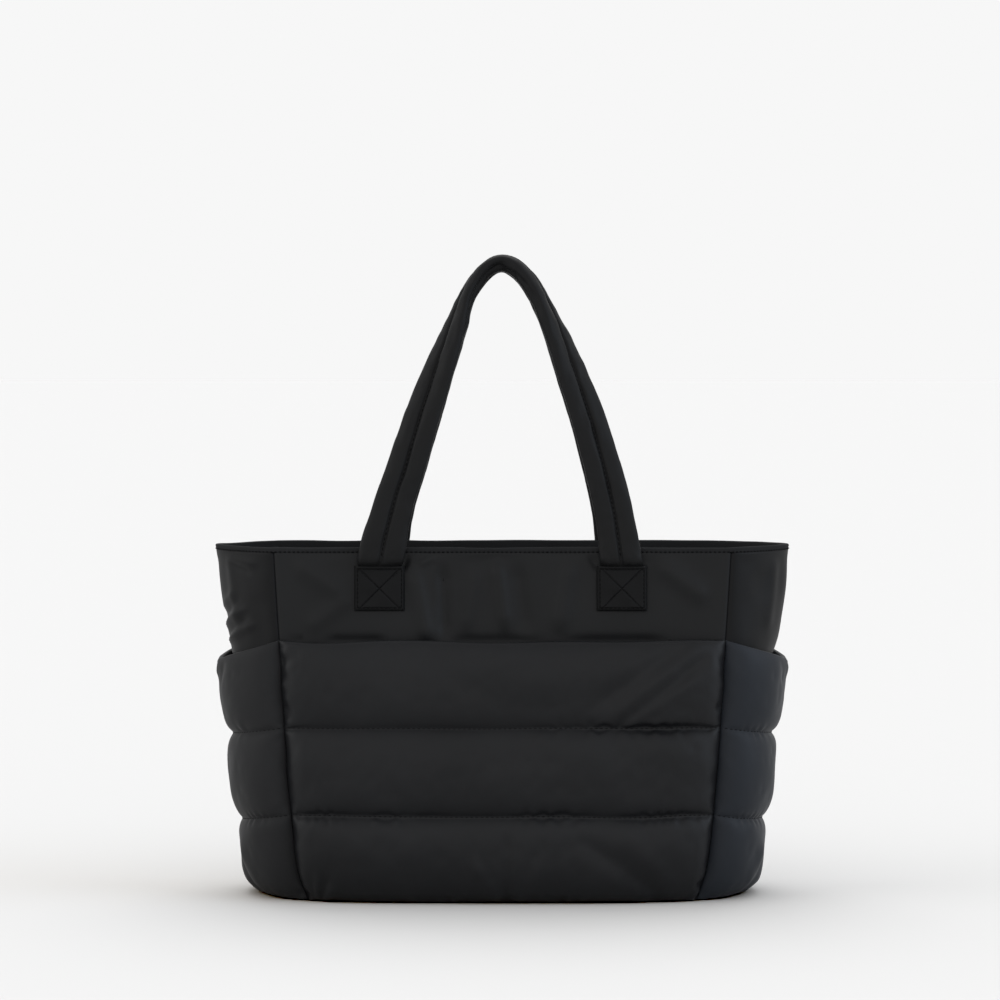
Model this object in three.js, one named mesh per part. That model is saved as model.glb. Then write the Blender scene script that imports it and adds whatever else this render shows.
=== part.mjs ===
// Quilted nylon tote bag, empty and standing on its base with both handles up.
// Millimetres, +Z up, front at -Y. The origin is the centre of the base panel's underside.
// Walls, pockets, hem and patches are closed sheets at set distances from one body surface, so a change
// of size moves them together and the gaps between them stay.
import * as THREE from "three";

// Body
const RIM_WIDTH = 450;
const BODY_HEIGHT = 275;
const BODY_DEPTH = 132;
const WALL = 3;
const WALL_SWELL = 14; // how far the middle of a wall stands out from its side seams, at the base
const BASE_THICKNESS = 4;
const CLEARANCE = 0.3; // between any two pieces that are sewn together

// Hem and facing round the mouth
const HEM_HEIGHT = 3.6;
const HEM_PROUD = 0.5;
const HEM_ROUNDING = 1.1;
const FACING_HEIGHT = 26;
const FACING_THICKNESS = 1.2;

// Quilted panels: padded channels between stitched lines
const QUILT_BELOW_RIM = 71.5; // from the rim down to the mouth of the front pocket
const QUILT_ABOVE_FLOOR = 0.6;
const CHANNELS = 3;
const STITCHED_THICKNESS = 2.5;
const FRONT_PUFF = 8.5;
const SIDE_PUFF = 5;
const BACK_PUFF = 7.5;
const PUFF_SQUARENESS = 0.7; // 1 is a sine wave, less is fuller
const MOUTH_REACH = 0.88; // how much of its swell the top channel completes before the pocket's mouth
const FRONT_SLACK = 10; // how far a pocket stands off the wall behind it
const SIDE_SLACK = 16.5;
const SIDE_MOUTH_DIP = 21; // how far the side pockets' lines drop between the seams
const SIDE_LINE_DIP = 9;

// Handles
const HANDLE_SPACING = 190; // between the centres of one handle's two patches
const HANDLE_RISE = 228; // from the rim to the top of the handle
const STRAP_WIDTH = 35;
const STRAP_THICKNESS = 15; // where it is rolled, at the top
const STRAP_LEAN = 14; // degrees from upright where it leaves the patch
const ARCH_FOOT = 0.32; // how far up the arch its arms keep that lean, as a share of its height
const ARCH_TOP = 0.41; // how round its top is, as a share of half its width
const HANDLE_GAP = 1.5; // between the two handles at the top
const PATCH_WIDTH = 39;
const PATCH_HEIGHT = 35;
const PATCH_BELOW_RIM = 14;
const PATCH_THICKNESS = 1.6;
const PATCH_BORDER = 2.4; // the stitched-down edge
const PADDING_START = 0.6; // from the patch's upper edge to where the strap begins to thicken
const PADDING_LENGTH = 14; // over which it comes to its full thickness
const END_THICKNESS = 2.4; // of the strap's unpadded end, under the patch
const END_INSET = 3; // from the patch's lower edge up to the strap's end

// Level sections of the body. height is a share of BODY_HEIGHT, seam and side are shares of half the rim
// width, depth is a share of half BODY_DEPTH at the seams, swell is a share of WALL_SWELL, and round is
// how square the gusset is in plan.
const SECTIONS = [
  { height: 0.0, seam: 0.67, side: 0.81, depth: 0.81, swell: 1.0, round: 0.6 },
  { height: 0.09, seam: 0.702, side: 0.832, depth: 0.9, swell: 0.62, round: 0.6 },
  { height: 0.215, seam: 0.722, side: 0.832, depth: 0.958, swell: 0.35, round: 0.58 },
  { height: 0.365, seam: 0.739, side: 0.853, depth: 0.974, swell: 0.22, round: 0.56 },
  { height: 0.5, seam: 0.75, side: 0.877, depth: 0.967, swell: 0.18, round: 0.52 },
  { height: 0.62, seam: 0.759, side: 0.909, depth: 0.957, swell: 0.15, round: 0.46 },
  { height: 0.7, seam: 0.765, side: 0.946, depth: 0.94, swell: 0.15, round: 0.42 },
  { height: 0.83, seam: 0.776, side: 0.976, depth: 0.905, swell: 0.14, round: 0.36 },
  { height: 1.0, seam: 0.789, side: 1.0, depth: 0.86, swell: 0.14, round: 0.3 },
];

// How far a pocket stands off the wall, as a share of its slack, up the pocket's height.
const STAND_OFF = [
  { height: 0.0, front: 0.0, side: 0.0 },
  { height: 0.05, front: 0.45, side: 0.58 },
  { height: 0.12, front: 0.72, side: 0.72 },
  { height: 0.2, front: 0.88, side: 0.88 },
  { height: 0.33, front: 1.0, side: 1.0 },
  { height: 0.67, front: 1.0, side: 1.0 },
  { height: 0.85, front: 0.9, side: 0.82 },
  { height: 1.0, front: 0.72, side: 0.57 },
];

// Drop of the side pockets' stitched lines half way between the seams, as shares of the two named dips.
const LINE_DROP = [
  { height: 0.0, line: 0.0, mouth: 0.0 },
  { height: 1 / 3, line: 1.0, mouth: 0.0 },
  { height: 2 / 3, line: 1.0, mouth: 0.0 },
  { height: 1.0, line: 0.0, mouth: 1.0 },
];

// The strap from its patch to the top: height is the share of the arm's length, width and thickness are
// shares of the strap's own, and turn is the share of a quarter turn that rolls its front face upwards.
const STRAP_SECTIONS = [
  { height: 0.0, width: 0.93, thickness: 0.64, turn: 0.0 },
  { height: 0.1, width: 0.95, thickness: 0.66, turn: 0.0 },
  { height: 0.3, width: 0.93, thickness: 0.69, turn: 0.14 },
  { height: 0.5, width: 0.86, thickness: 0.73, turn: 0.33 },
  { height: 0.68, width: 0.75, thickness: 0.8, turn: 0.58 },
  { height: 0.84, width: 0.69, thickness: 0.9, turn: 0.85 },
  { height: 1.0, width: 0.69, thickness: 1.0, turn: 1.0 },
];

// One side of the strap's outline, from its outer edge round the front: two padded halves with the
// stitched line between them, in half widths and half thicknesses.
const STRAP_OUTLINE = [
  { across: -1.0, out: 0.0 },
  { across: -0.84, out: 0.74 },
  { across: -0.42, out: 1.0 },
  { across: 0.0, out: 0.72 },
  { across: 0.42, out: 1.0 },
  { across: 0.84, out: 0.74 },
  { across: 1.0, out: 0.0 },
];

const halfRim = RIM_WIDTH / 2;
const halfDepth = BODY_DEPTH / 2;
const quiltTop = BODY_HEIGHT - QUILT_BELOW_RIM;
const wallBottom = BASE_THICKNESS + CLEARANCE;
const wallTop = BODY_HEIGHT - HEM_HEIGHT - CLEARANCE;
const patchTop = BODY_HEIGHT - PATCH_BELOW_RIM;
const patchBottom = patchTop - PATCH_HEIGHT;
const handleTop = BODY_HEIGHT + HANDLE_RISE;

const smooth = (t) => THREE.MathUtils.smoothstep(t, 0, 1);

// A named column of a table at any height, through its rows without a kink.
function column(table, name, height) {
  const h = THREE.MathUtils.clamp(height, table[0].height, table.at(-1).height);
  let i = 0;
  while (i < table.length - 2 && h > table[i + 1].height) i++;
  const slope = (k) => {
    const low = table[Math.max(k - 1, 0)];
    const high = table[Math.min(k + 1, table.length - 1)];
    return (high[name] - low[name]) / (high.height - low.height);
  };
  const [from, to] = [table[i], table[i + 1]];
  const span = to.height - from.height;
  const t = (h - from.height) / span;
  const near = (2 * t + 1) * (t - 1) ** 2 * from[name] + t * (t - 1) ** 2 * span * slope(i);
  const far = t * t * (3 - 2 * t) * to[name] + t * t * (t - 1) * span * slope(i + 1);
  return near + far;
}

const sections = new Map();

// The body's section at height z: the seam's x, the front wall's distance from the middle and its swell,
// and half a gusset's plan curve, which carries the wall's direction on past the seam.
function sectionAt(z) {
  if (!sections.has(z)) {
    const height = z / BODY_HEIGHT;
    const seam = column(SECTIONS, "seam", height) * halfRim;
    const side = column(SECTIONS, "side", height) * halfRim;
    const depth = column(SECTIONS, "depth", height) * halfDepth;
    const swell = column(SECTIONS, "swell", height) * WALL_SWELL;
    const round = column(SECTIONS, "round", height);
    const reach = round * (side - seam);
    const gusset = new THREE.CubicBezierCurve(
      new THREE.Vector2(seam, depth),
      new THREE.Vector2(seam + reach, depth - (4 * swell * reach) / seam),
      new THREE.Vector2(side, round * depth),
      new THREE.Vector2(side, 0),
    );
    sections.set(z, { seam, depth, swell, gusset });
  }
  return sections.get(z);
}

// A point off the front (facing -1) or back (facing 1) wall: s runs from -1 to 1 between the seams.
function wallPoint(facing, s, z, offset) {
  const { seam, depth, swell } = sectionAt(z);
  const slope = (-4 * swell * s ** 3) / seam;
  const length = Math.hypot(1, slope);
  const y = depth + swell * (1 - s ** 4) + offset / length;
  return new THREE.Vector3(s * seam - (slope * offset) / length, facing * y, z);
}

// A point off the left (side -1) or right (side 1) gusset: t runs from -1 at the front seam to 1 at the
// back one.
function gussetPoint(side, t, z, offset) {
  const { gusset } = sectionAt(z);
  const along = 1 - Math.abs(t);
  const point = gusset.getPointAt(along);
  const tangent = gusset.getTangentAt(along);
  const x = point.x - tangent.y * offset;
  const y = point.y + tangent.x * offset;
  return new THREE.Vector3(side * x, Math.sign(t) * y, z);
}

// Spacing that is finest at both ends of -1 to 1.
const endwise = (share) => Math.sin((share - 0.5) * Math.PI);

// Heights up a quilted panel, as shares, finest near the stitched lines.
function quiltRows(perChannel) {
  const rows = [0];
  for (let channel = 0; channel < CHANNELS; channel++) {
    for (let i = 1; i <= perChannel; i++) {
      rows.push((channel + (1 - Math.cos((Math.PI * i) / perChannel)) / 2) / CHANNELS);
    }
  }
  return rows;
}

// How full a quilted panel is at a share of its height: 0 on a stitched line and 1 in mid channel. The
// top channel of an open pocket is still part full at the mouth.
function fullness(share, openMouth) {
  const channel = Math.min(Math.floor(share * CHANNELS), CHANNELS - 1);
  const reach = openMouth && channel === CHANNELS - 1 ? MOUTH_REACH : 1;
  const wave = Math.sin(Math.PI * reach * (share * CHANNELS - channel));
  return Math.max(wave, 0) ** PUFF_SQUARENESS;
}

const quiltLevel = (share) => QUILT_ABOVE_FLOOR + share * (quiltTop - QUILT_ABOVE_FLOOR);

// A closed mesh from its points and triangles, turned so that its faces point out.
function closedGeometry(points, triangles) {
  let volume = 0;
  for (const [a, b, c] of triangles) {
    volume += points[a].dot(new THREE.Vector3().crossVectors(points[b], points[c]));
  }
  const facing = volume > 0 ? triangles : triangles.map(([a, b, c]) => [a, c, b]);
  const geometry = new THREE.BufferGeometry().setFromPoints(points);
  geometry.setIndex(facing.flat());
  geometry.computeVertexNormals();
  return geometry;
}

// Two triangles on four corners in order.
const quad = (a, b, c, d) => [
  [a, b, c],
  [a, c, d],
];

// A sheet with thickness: outer and inner give its faces at a column and a row, and its edges are closed.
function sheetGeometry(columns, rows, outer, inner) {
  const points = [];
  for (const face of [outer, inner]) {
    for (const row of rows) {
      for (const across of columns) points.push(face(across, row));
    }
  }
  const [wide, high] = [columns.length, rows.length];
  const at = (face, i, j) => face * wide * high + j * wide + i;
  const triangles = [];
  for (let j = 0; j < high - 1; j++) {
    const k = j + 1;
    for (let i = 0; i < wide - 1; i++) {
      triangles.push(...quad(at(0, i, j), at(0, i + 1, j), at(0, i + 1, k), at(0, i, k)));
      triangles.push(...quad(at(1, i, j), at(1, i, k), at(1, i + 1, k), at(1, i + 1, j)));
    }
    for (const [i, near, far] of [
      [0, 0, 1],
      [wide - 1, 1, 0],
    ]) {
      triangles.push(...quad(at(near, i, j), at(near, i, k), at(far, i, k), at(far, i, j)));
    }
  }
  for (let i = 0; i < wide - 1; i++) {
    for (const [j, near, far] of [
      [0, 1, 0],
      [high - 1, 0, 1],
    ]) {
      triangles.push(...quad(at(near, i, j), at(near, i + 1, j), at(far, i + 1, j), at(far, i, j)));
    }
  }
  return closedGeometry(points, triangles);
}

// A solid lofted through rings of points: a closed loop of rings, or a bar with flat ends.
function loftGeometry(rings, closed) {
  const sides = rings[0].length;
  const points = rings.flat();
  const triangles = [];
  const spans = closed ? rings.length : rings.length - 1;
  for (let k = 0; k < spans; k++) {
    const next = (k + 1) % rings.length;
    for (let i = 0; i < sides; i++) {
      const j = (i + 1) % sides;
      triangles.push(...quad(k * sides + i, k * sides + j, next * sides + j, next * sides + i));
    }
  }
  if (!closed) {
    const last = (rings.length - 1) * sides;
    for (let i = 1; i < sides - 1; i++) {
      triangles.push([0, i + 1, i], [last, last + i, last + i + 1]);
    }
  }
  return closedGeometry(points, triangles);
}

const spread = (count, from = -1, to = 1) =>
  Array.from({ length: count + 1 }, (_, i) => from + ((to - from) * i) / count);

// Columns between two seams, stopping half a clearance short of each.
const seamColumns = (count, length) =>
  spread(count, 0, 1).map((share) => endwise(share) * (1 - CLEARANCE / length));

const frontColumns = seamColumns(18, RIM_WIDTH / 2);
const wallColumns = seamColumns(14, RIM_WIDTH / 2);
const gussetColumns = spread(12).map((t) => t * (1 - CLEARANCE / halfDepth));
const pocketColumns = seamColumns(14, halfDepth);

// The plain wall under the front pocket and the handles.
function frontWall() {
  const rows = spread(13, wallBottom, wallTop);
  const face = (offset) => (s, z) => wallPoint(-1, s, z, offset);
  return sheetGeometry(wallColumns, rows, face(0), face(-WALL));
}

// The back wall, quilted up to the height of the pockets and plain above.
function backWall() {
  const quilted = quiltRows(6).map((share) => Math.max(quiltLevel(share), wallBottom));
  const rows = [...new Set([...quilted, ...spread(4, quiltTop, wallTop)])];
  const padding = (s, z) => {
    const share = (z - QUILT_ABOVE_FLOOR) / (quiltTop - QUILT_ABOVE_FLOOR);
    return share < 1 ? BACK_PUFF * fullness(share, false) * (1 - s ** 12) : 0;
  };
  return sheetGeometry(
    wallColumns,
    rows,
    (s, z) => wallPoint(1, s, z, padding(s, z)),
    (s, z) => wallPoint(1, s, z, -WALL),
  );
}

// A side wall between the front and back walls.
function gusset(side) {
  const rows = spread(14, wallBottom, wallTop);
  const face = (offset) => (t, z) => gussetPoint(side, t, z, offset);
  return sheetGeometry(gussetColumns, rows, face(0), face(-WALL));
}

// The quilted front pocket, sewn along its sides and foot and open at the top.
function frontPocket() {
  const slack = (share) => FRONT_SLACK * column(STAND_OFF, "front", share);
  const standOff = (s, share) => CLEARANCE + slack(share) * (1 - s ** 6);
  const puff = (s, share) => FRONT_PUFF * fullness(share, true) * (1 - s ** 12);
  const thickness = (s, share) => STITCHED_THICKNESS + puff(s, share);
  return sheetGeometry(
    frontColumns,
    quiltRows(6),
    (s, share) => wallPoint(-1, s, quiltLevel(share), standOff(s, share) + thickness(s, share)),
    (s, share) => wallPoint(-1, s, quiltLevel(share), standOff(s, share)),
  );
}

// A quilted side pocket, whose stitched lines and mouth hang lower between the seams.
function sidePocket(side) {
  const lineDip = (share) => SIDE_LINE_DIP * column(LINE_DROP, "line", share);
  const mouthDip = (share) => SIDE_MOUTH_DIP * column(LINE_DROP, "mouth", share);
  const dip = (share) => lineDip(share) + mouthDip(share);
  const level = (t, share) => quiltLevel(share) - dip(share) * (1 - Math.abs(t) ** 1.5);
  const slack = (share) => SIDE_SLACK * column(STAND_OFF, "side", share);
  const standOff = (t, share) => CLEARANCE + slack(share) * (1 - Math.abs(t) ** 2.5);
  const puff = (t, share) => SIDE_PUFF * fullness(share, true) * (1 - t ** 6);
  const thickness = (t, share) => STITCHED_THICKNESS + puff(t, share);
  return sheetGeometry(
    pocketColumns,
    quiltRows(6),
    (t, share) => gussetPoint(side, t, level(t, share), standOff(t, share) + thickness(t, share)),
    (t, share) => gussetPoint(side, t, level(t, share), standOff(t, share)),
  );
}

// Stations once round the body, front wall first, as functions of height and offset.
function aroundBody(wallStations, gussetStations) {
  const seamed = (count) => spread(count).slice(0, -1);
  return [
    ...seamed(wallStations).map((s) => (z, offset) => wallPoint(-1, s, z, offset)),
    ...seamed(gussetStations).map((t) => (z, offset) => gussetPoint(1, t, z, offset)),
    ...seamed(wallStations).map((s) => (z, offset) => wallPoint(1, -s, z, offset)),
    ...seamed(gussetStations).map((t) => (z, offset) => gussetPoint(-1, -t, z, offset)),
  ];
}

// The flat bottom that the walls stand on.
function basePanel() {
  const stations = aroundBody(8, 12);
  const rings = [0, BASE_THICKNESS].map((z) => stations.map((station) => station(z, -CLEARANCE)));
  const sides = rings[0].length;
  const outline = rings[0].map((point) => new THREE.Vector2(point.x, point.y));
  const underside = THREE.ShapeUtils.triangulateShape(outline, []);
  const topside = underside.map(([a, b, c]) => [a + sides, c + sides, b + sides]);
  const edge = rings[0].flatMap((_, i) => {
    const next = (i + 1) % sides;
    return quad(i, i + sides, next + sides, next);
  });
  return closedGeometry(rings.flat(), [...underside, ...topside, ...edge]);
}

// The turned edge over the tops of the walls, in one with the facing inside them.
function rimHem() {
  const inside = -WALL - CLEARANCE;
  const hemBottom = BODY_HEIGHT - HEM_HEIGHT;
  const profile = [
    { offset: inside, z: hemBottom },
    { offset: HEM_PROUD, z: hemBottom },
    { offset: HEM_PROUD, z: BODY_HEIGHT - HEM_ROUNDING },
    { offset: HEM_PROUD - HEM_ROUNDING, z: BODY_HEIGHT },
    { offset: inside - FACING_THICKNESS + HEM_ROUNDING, z: BODY_HEIGHT },
    { offset: inside - FACING_THICKNESS, z: BODY_HEIGHT - HEM_ROUNDING },
    { offset: inside - FACING_THICKNESS, z: BODY_HEIGHT - FACING_HEIGHT },
    { offset: inside, z: BODY_HEIGHT - FACING_HEIGHT },
  ];
  const rings = aroundBody(12, 12).map((station) => profile.map(({ z, offset }) => station(z, offset)));
  return loftGeometry(rings, true);
}

const patchPlateau = END_THICKNESS + 2 * CLEARANCE;

// The square of cloth sewn over a strap's end: its sides and foot are stitched down to the wall.
function patch(facing, side) {
  const edge = PATCH_BORDER / PATCH_WIDTH;
  const rise = (u, v) => smooth(Math.min(u, 1 - u) / edge) * smooth((v * PATCH_HEIGHT) / PATCH_BORDER);
  const at = (offset) => (u, v) => {
    const x = (side * HANDLE_SPACING) / 2 + (u - 0.5) * PATCH_WIDTH;
    const z = patchBottom + v * PATCH_HEIGHT;
    const standOff = CLEARANCE + (patchPlateau - CLEARANCE) * rise(u, v);
    return wallPoint(facing, x / sectionAt(z).seam, z, standOff + offset);
  };
  const columns = [0, edge / 2, edge, 0.36, 0.64, 1 - edge, 1 - edge / 2, 1];
  const low = PATCH_BORDER / PATCH_HEIGHT;
  return sheetGeometry(columns, [0, low / 2, low, 0.4, 0.7, 1], at(PATCH_THICKNESS), at(0));
}

// One arm of a handle in the plane of the arch, from the top of its patch to the middle of the handle's
// top.
function armCurve() {
  const start = new THREE.Vector2(-HANDLE_SPACING / 2, patchTop);
  const top = new THREE.Vector2(0, handleTop - STRAP_THICKNESS / 2);
  const lean = THREE.MathUtils.degToRad(STRAP_LEAN);
  const pull = ARCH_FOOT * (top.y - start.y);
  return new THREE.CubicBezierCurve(
    start,
    new THREE.Vector2(start.x + pull * Math.sin(lean), start.y + pull * Math.cos(lean)),
    new THREE.Vector2(ARCH_TOP * start.x, top.y),
    top,
  );
}

// The stations of one arm, from the strap's end up: each has its place in the arch's plane, its distance
// past the patch's top edge, and its share of the arm.
function armStations() {
  const arm = armCurve();
  const length = arm.getLength();
  const flat = spread(3, patchBottom + END_INSET, patchTop).map((z) => ({
    place: new THREE.Vector2(-HANDLE_SPACING / 2, z),
    past: z - patchTop,
    share: 0,
  }));
  const closing = spread(17, 1, 0).map((left) => length - (length - PADDING_LENGTH) * left ** 1.35);
  const padded = [1.5, 4, 8, ...closing].map((past) => ({
    place: arm.getPointAt(past / length),
    past,
    share: past / length,
  }));
  return [...flat, ...padded];
}

// A handle: a strap from patch to patch, flat on the wall at its ends and rolled upwards at the top.
function handle(facing) {
  const leftArm = armStations().map(({ place, past, share }) => {
    const padding = smooth((past - PADDING_START) / PADDING_LENGTH);
    const endWidth = PATCH_WIDTH - 2 * PATCH_BORDER - 2 * CLEARANCE;
    const fullWidth = STRAP_WIDTH * column(STRAP_SECTIONS, "width", share);
    const width = THREE.MathUtils.lerp(endWidth, fullWidth, padding);
    const fullThickness = STRAP_THICKNESS * column(STRAP_SECTIONS, "thickness", share);
    const thickness = THREE.MathUtils.lerp(END_THICKNESS, fullThickness, padding);
    const offset = CLEARANCE + thickness / 2 + HEM_PROUD * padding;
    const lowZ = Math.min(place.y, BODY_HEIGHT);
    const onWall = wallPoint(-1, place.x / sectionAt(lowZ).seam, lowZ, offset).y;
    const topWidth = STRAP_WIDTH * STRAP_SECTIONS.at(-1).width;
    const climbed = (place.y - lowZ) / (handleTop - STRAP_THICKNESS / 2 - BODY_HEIGHT);
    const y = THREE.MathUtils.lerp(onWall, -(topWidth + HANDLE_GAP) / 2, climbed ** 1.3);
    const turn = (column(STRAP_SECTIONS, "turn", share) * Math.PI) / 2;
    return { centre: new THREE.Vector3(place.x, y, place.y), width, thickness, turn };
  });
  const mirrored = leftArm
    .slice(0, -1)
    .reverse()
    .map((station) => ({ ...station, centre: station.centre.clone().setX(-station.centre.x) }));
  const stations = [...leftArm, ...mirrored];
  const rings = stations.map(({ centre, width, thickness, turn }, k) => {
    const before = stations[Math.max(k - 1, 0)].centre;
    const after = stations[Math.min(k + 1, stations.length - 1)].centre;
    const tangent = after.clone().sub(before).normalize();
    const front = new THREE.Vector3(0, -1, 0);
    front.addScaledVector(tangent, -front.dot(tangent)).normalize();
    const inward = new THREE.Vector3().crossVectors(tangent, front);
    const across = inward.clone().multiplyScalar(Math.cos(turn)).addScaledVector(front, Math.sin(turn));
    const out = front.clone().multiplyScalar(Math.cos(turn)).addScaledVector(inward, -Math.sin(turn));
    const back = STRAP_OUTLINE.slice(1, -1).reverse();
    const outline = [...STRAP_OUTLINE, ...back.map((point) => ({ ...point, out: -point.out }))];
    return outline.map((point) => {
      const spot = centre.clone();
      spot.addScaledVector(across, (point.across * width) / 2);
      spot.addScaledVector(out, (point.out * thickness) / 2);
      return spot.setY(-facing * spot.y);
    });
  });
  return loftGeometry(rings, false);
}

const nylon = new THREE.MeshStandardMaterial({ color: 0x1b1c1e, roughness: 0.55, metalness: 0 });
const quiltedNylon = new THREE.MeshStandardMaterial({ color: 0x1d1e20, roughness: 0.5, metalness: 0 });
const webbing = new THREE.MeshStandardMaterial({ color: 0x161719, roughness: 0.65, metalness: 0 });

function named(name, geometry, material) {
  const mesh = new THREE.Mesh(geometry, material);
  mesh.name = name;
  return mesh;
}

const bag = new THREE.Group();
bag.add(named("base_panel", basePanel(), nylon));
bag.add(named("front_wall", frontWall(), nylon));
bag.add(named("back_wall", backWall(), quiltedNylon));
bag.add(named("rim_hem", rimHem(), nylon));
bag.add(named("front_pocket", frontPocket(), quiltedNylon));
for (const [label, side] of [
  ["left", -1],
  ["right", 1],
]) {
  bag.add(named(`${label}_gusset`, gusset(side), nylon));
  bag.add(named(`${label}_pocket`, sidePocket(side), quiltedNylon));
  bag.add(named(`front_${label}_patch`, patch(-1, side), webbing));
  bag.add(named(`back_${label}_patch`, patch(1, side), webbing));
}
bag.add(named("front_handle", handle(-1), webbing));
bag.add(named("back_handle", handle(1), webbing));

export default bag;
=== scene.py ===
import math

import bpy
import numpy as np
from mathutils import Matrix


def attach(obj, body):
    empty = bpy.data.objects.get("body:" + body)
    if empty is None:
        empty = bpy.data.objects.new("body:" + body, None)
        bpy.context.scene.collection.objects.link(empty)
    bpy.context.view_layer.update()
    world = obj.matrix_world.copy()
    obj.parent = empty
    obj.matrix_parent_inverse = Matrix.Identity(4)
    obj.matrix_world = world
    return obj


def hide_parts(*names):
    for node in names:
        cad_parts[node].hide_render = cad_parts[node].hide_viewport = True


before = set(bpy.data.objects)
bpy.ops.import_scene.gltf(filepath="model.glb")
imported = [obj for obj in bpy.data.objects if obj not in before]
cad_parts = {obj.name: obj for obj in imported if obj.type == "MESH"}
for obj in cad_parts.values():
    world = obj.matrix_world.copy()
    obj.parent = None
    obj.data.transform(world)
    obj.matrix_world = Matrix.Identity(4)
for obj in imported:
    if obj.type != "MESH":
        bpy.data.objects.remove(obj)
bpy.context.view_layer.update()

MM = 0.001
NAMES = {-1: "left", 1: "right"}
FACES = {-1: "front", 1: "back"}

# Body, as in the part's source but for what the photo's outline asks of the cloth
HALF_RIM = 0.225
BODY_HEIGHT = 0.275
HALF_DEPTH = 0.066
WALL = 0.003
WALL_SWELL = 0.014
BASE_THICKNESS = 0.004
CLEARANCE = 0.0003
HEM_HEIGHT = 0.0036
FACING_HEIGHT = 0.026
FACING_THICKNESS = 0.0012
CURVE_STEPS = 60  # along half a side wall's section, to measure its run

QUILT_TOP = 0.2035
QUILT_FOOT = 0.0006
QUILT_RISE = QUILT_TOP - QUILT_FOOT
CHANNELS = 3
STITCHED_THICKNESS = 0.0025
LEAST_THICKNESS = 0.0014
LOWEST = 0.0004  # how high the pockets' faces start
FRONT_PUFF = 0.0062
SIDE_PUFF = 0.0052
BACK_PUFF = 0.0075
PUFF_CROWN = 0.62  # how much of the puff is a broad crown, and not the flat top of a channel
LINE_WIDTH = 0.0016  # how far from a stitched line the puff reaches most of its height
LINE_POWER = 0.9  # how steeply the puff rises from a stitched line
MOUTH_THINNING = 0.5
MOUTH_REACH = 0.009
SIDE_FOOT = 0.006  # how far the filling widens a side pocket where it rests on the floor
FOOT_HEIGHT = 0.007
FRONT_SLACK = 0.010
SIDE_SLACK = 0.0165
SIDE_MOUTH_DIP = 0.0188
SIDE_LINE_DIP = 0.009

FRONT_RUN = 0.17  # about how far it is along the cloth from the middle of the front to a seam
SIDE_RUN = 0.08  # the same, round a side wall
SEAM_END = 1.0005  # the walls and side walls end this far along, and so close their seams
POCKET_ROWS = 34  # rows of points up each channel
BACK_ROWS = 26
FRONT_COLUMNS = 201
SIDE_COLUMNS = 121
BACK_COLUMNS = 161
WALL_COLUMNS = 221
WALL_ROWS = 160
GUSSET_ROWS = 132
FRONT_BUNCHING = 0.35  # how much closer together the columns are near the seams
SIDE_BUNCHING = 0.3
FRONT_FADE = 1 / 6  # share of half a panel over which what is uneven fades at its seams
SIDE_FADE = 1 / 5
WALL_FADE = 1 / 7
FOOT_FADE = 1 / 8
POCKET_GAP = 0.00004  # how far the pockets' edges stay off their seams
TUCK = 0.75  # how much of a side pocket's puff goes where its foot is drawn in towards the seams
TUCK_HEIGHT = 0.03
TUCK_START = 0.1  # share of the way from the middle of a side to its seams
FOOT_SHARE = 0.5

HALF_SPACING = 0.095
HANDLE_TOP = 0.503
STRAP_WIDTH = 0.035
STRAP_THICKNESS = 0.015
STRAP_LEAN = math.radians(14)
ARCH_FOOT = 0.32
ARCH_TOP = 0.41
HANDLE_GAP = 0.0015
PATCH_WIDTH = 0.039
PATCH_HEIGHT = 0.035
PATCH_TOP = 0.261
PATCH_BOTTOM = PATCH_TOP - PATCH_HEIGHT
PATCH_THICKNESS = 0.0016
PATCH_BORDER = 0.0024
RIGHT_FOOT_SHIFT = -0.0025  # the right straps' feet and patches stand this much nearer to the middle
END_THICKNESS = 0.0024
END_INSET = 0.003
PADDING_START = -0.002
PADDING_LENGTH = 0.008

# Seeds of the uneven details
WALL_SEED = 5
MOUTH_SEED = 3
CREASE_SEED = 8
FRONT_QUILT_SEED = 11
SEAM_SEED = 14
BACK_QUILT_SEED = 41
BACK_WALL_SEED = 71
HEM_SEED = 91
HANDLE_SEEDS = (101, 111)

# Columns: side, seeds of its side wall, its pocket, its front patch and its back patch
SIDES = [
    (-1, 21, 51, 80, 84),
    (1, 31, 61, 82, 86),
]

WALL_BOTTOM = BASE_THICKNESS + CLEARANCE
WALL_TOP = BODY_HEIGHT - HEM_HEIGHT - 0.05 * MM

# Columns: height, seam, side, depth, swell, rounding
SECTIONS = np.array([
    (0.0, 0.67, 0.81, 0.81, 1.0, 0.6),
    (0.09, 0.702, 0.832, 0.9, 0.62, 0.6),
    (0.215, 0.722, 0.832, 0.958, 0.35, 0.58),
    (0.365, 0.739, 0.853, 0.974, 0.22, 0.56),
    (0.5, 0.75, 0.877, 0.967, 0.18, 0.52),
    (0.62, 0.759, 0.909, 0.957, 0.15, 0.46),
    (0.7, 0.765, 0.954, 0.94, 0.15, 0.42),
    (0.83, 0.776, 0.987, 0.905, 0.14, 0.36),
    (1.0, 0.789, 1.004, 0.86, 0.14, 0.3),
])

# Columns: height, front, side
STAND_OFF = np.array([
    (0.0, 0.0, 0.0),
    (0.022, 0.3, 0.2),
    (0.05, 0.52, 0.56),
    (0.12, 0.76, 0.57),
    (0.2, 0.9, 0.65),
    (0.33, 1.0, 0.9),
    (0.67, 1.0, 0.84),
    (0.85, 0.9, 0.76),
    (1.0, 0.72, 0.62),
])

# Columns: height, line, mouth
LINE_DROP = np.array([
    (0.0, 0.0, 0.0),
    (1 / 3, 1.0, 0.0),
    (2 / 3, 1.0, 0.0),
    (1.0, 0.0, 1.0),
])

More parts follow.
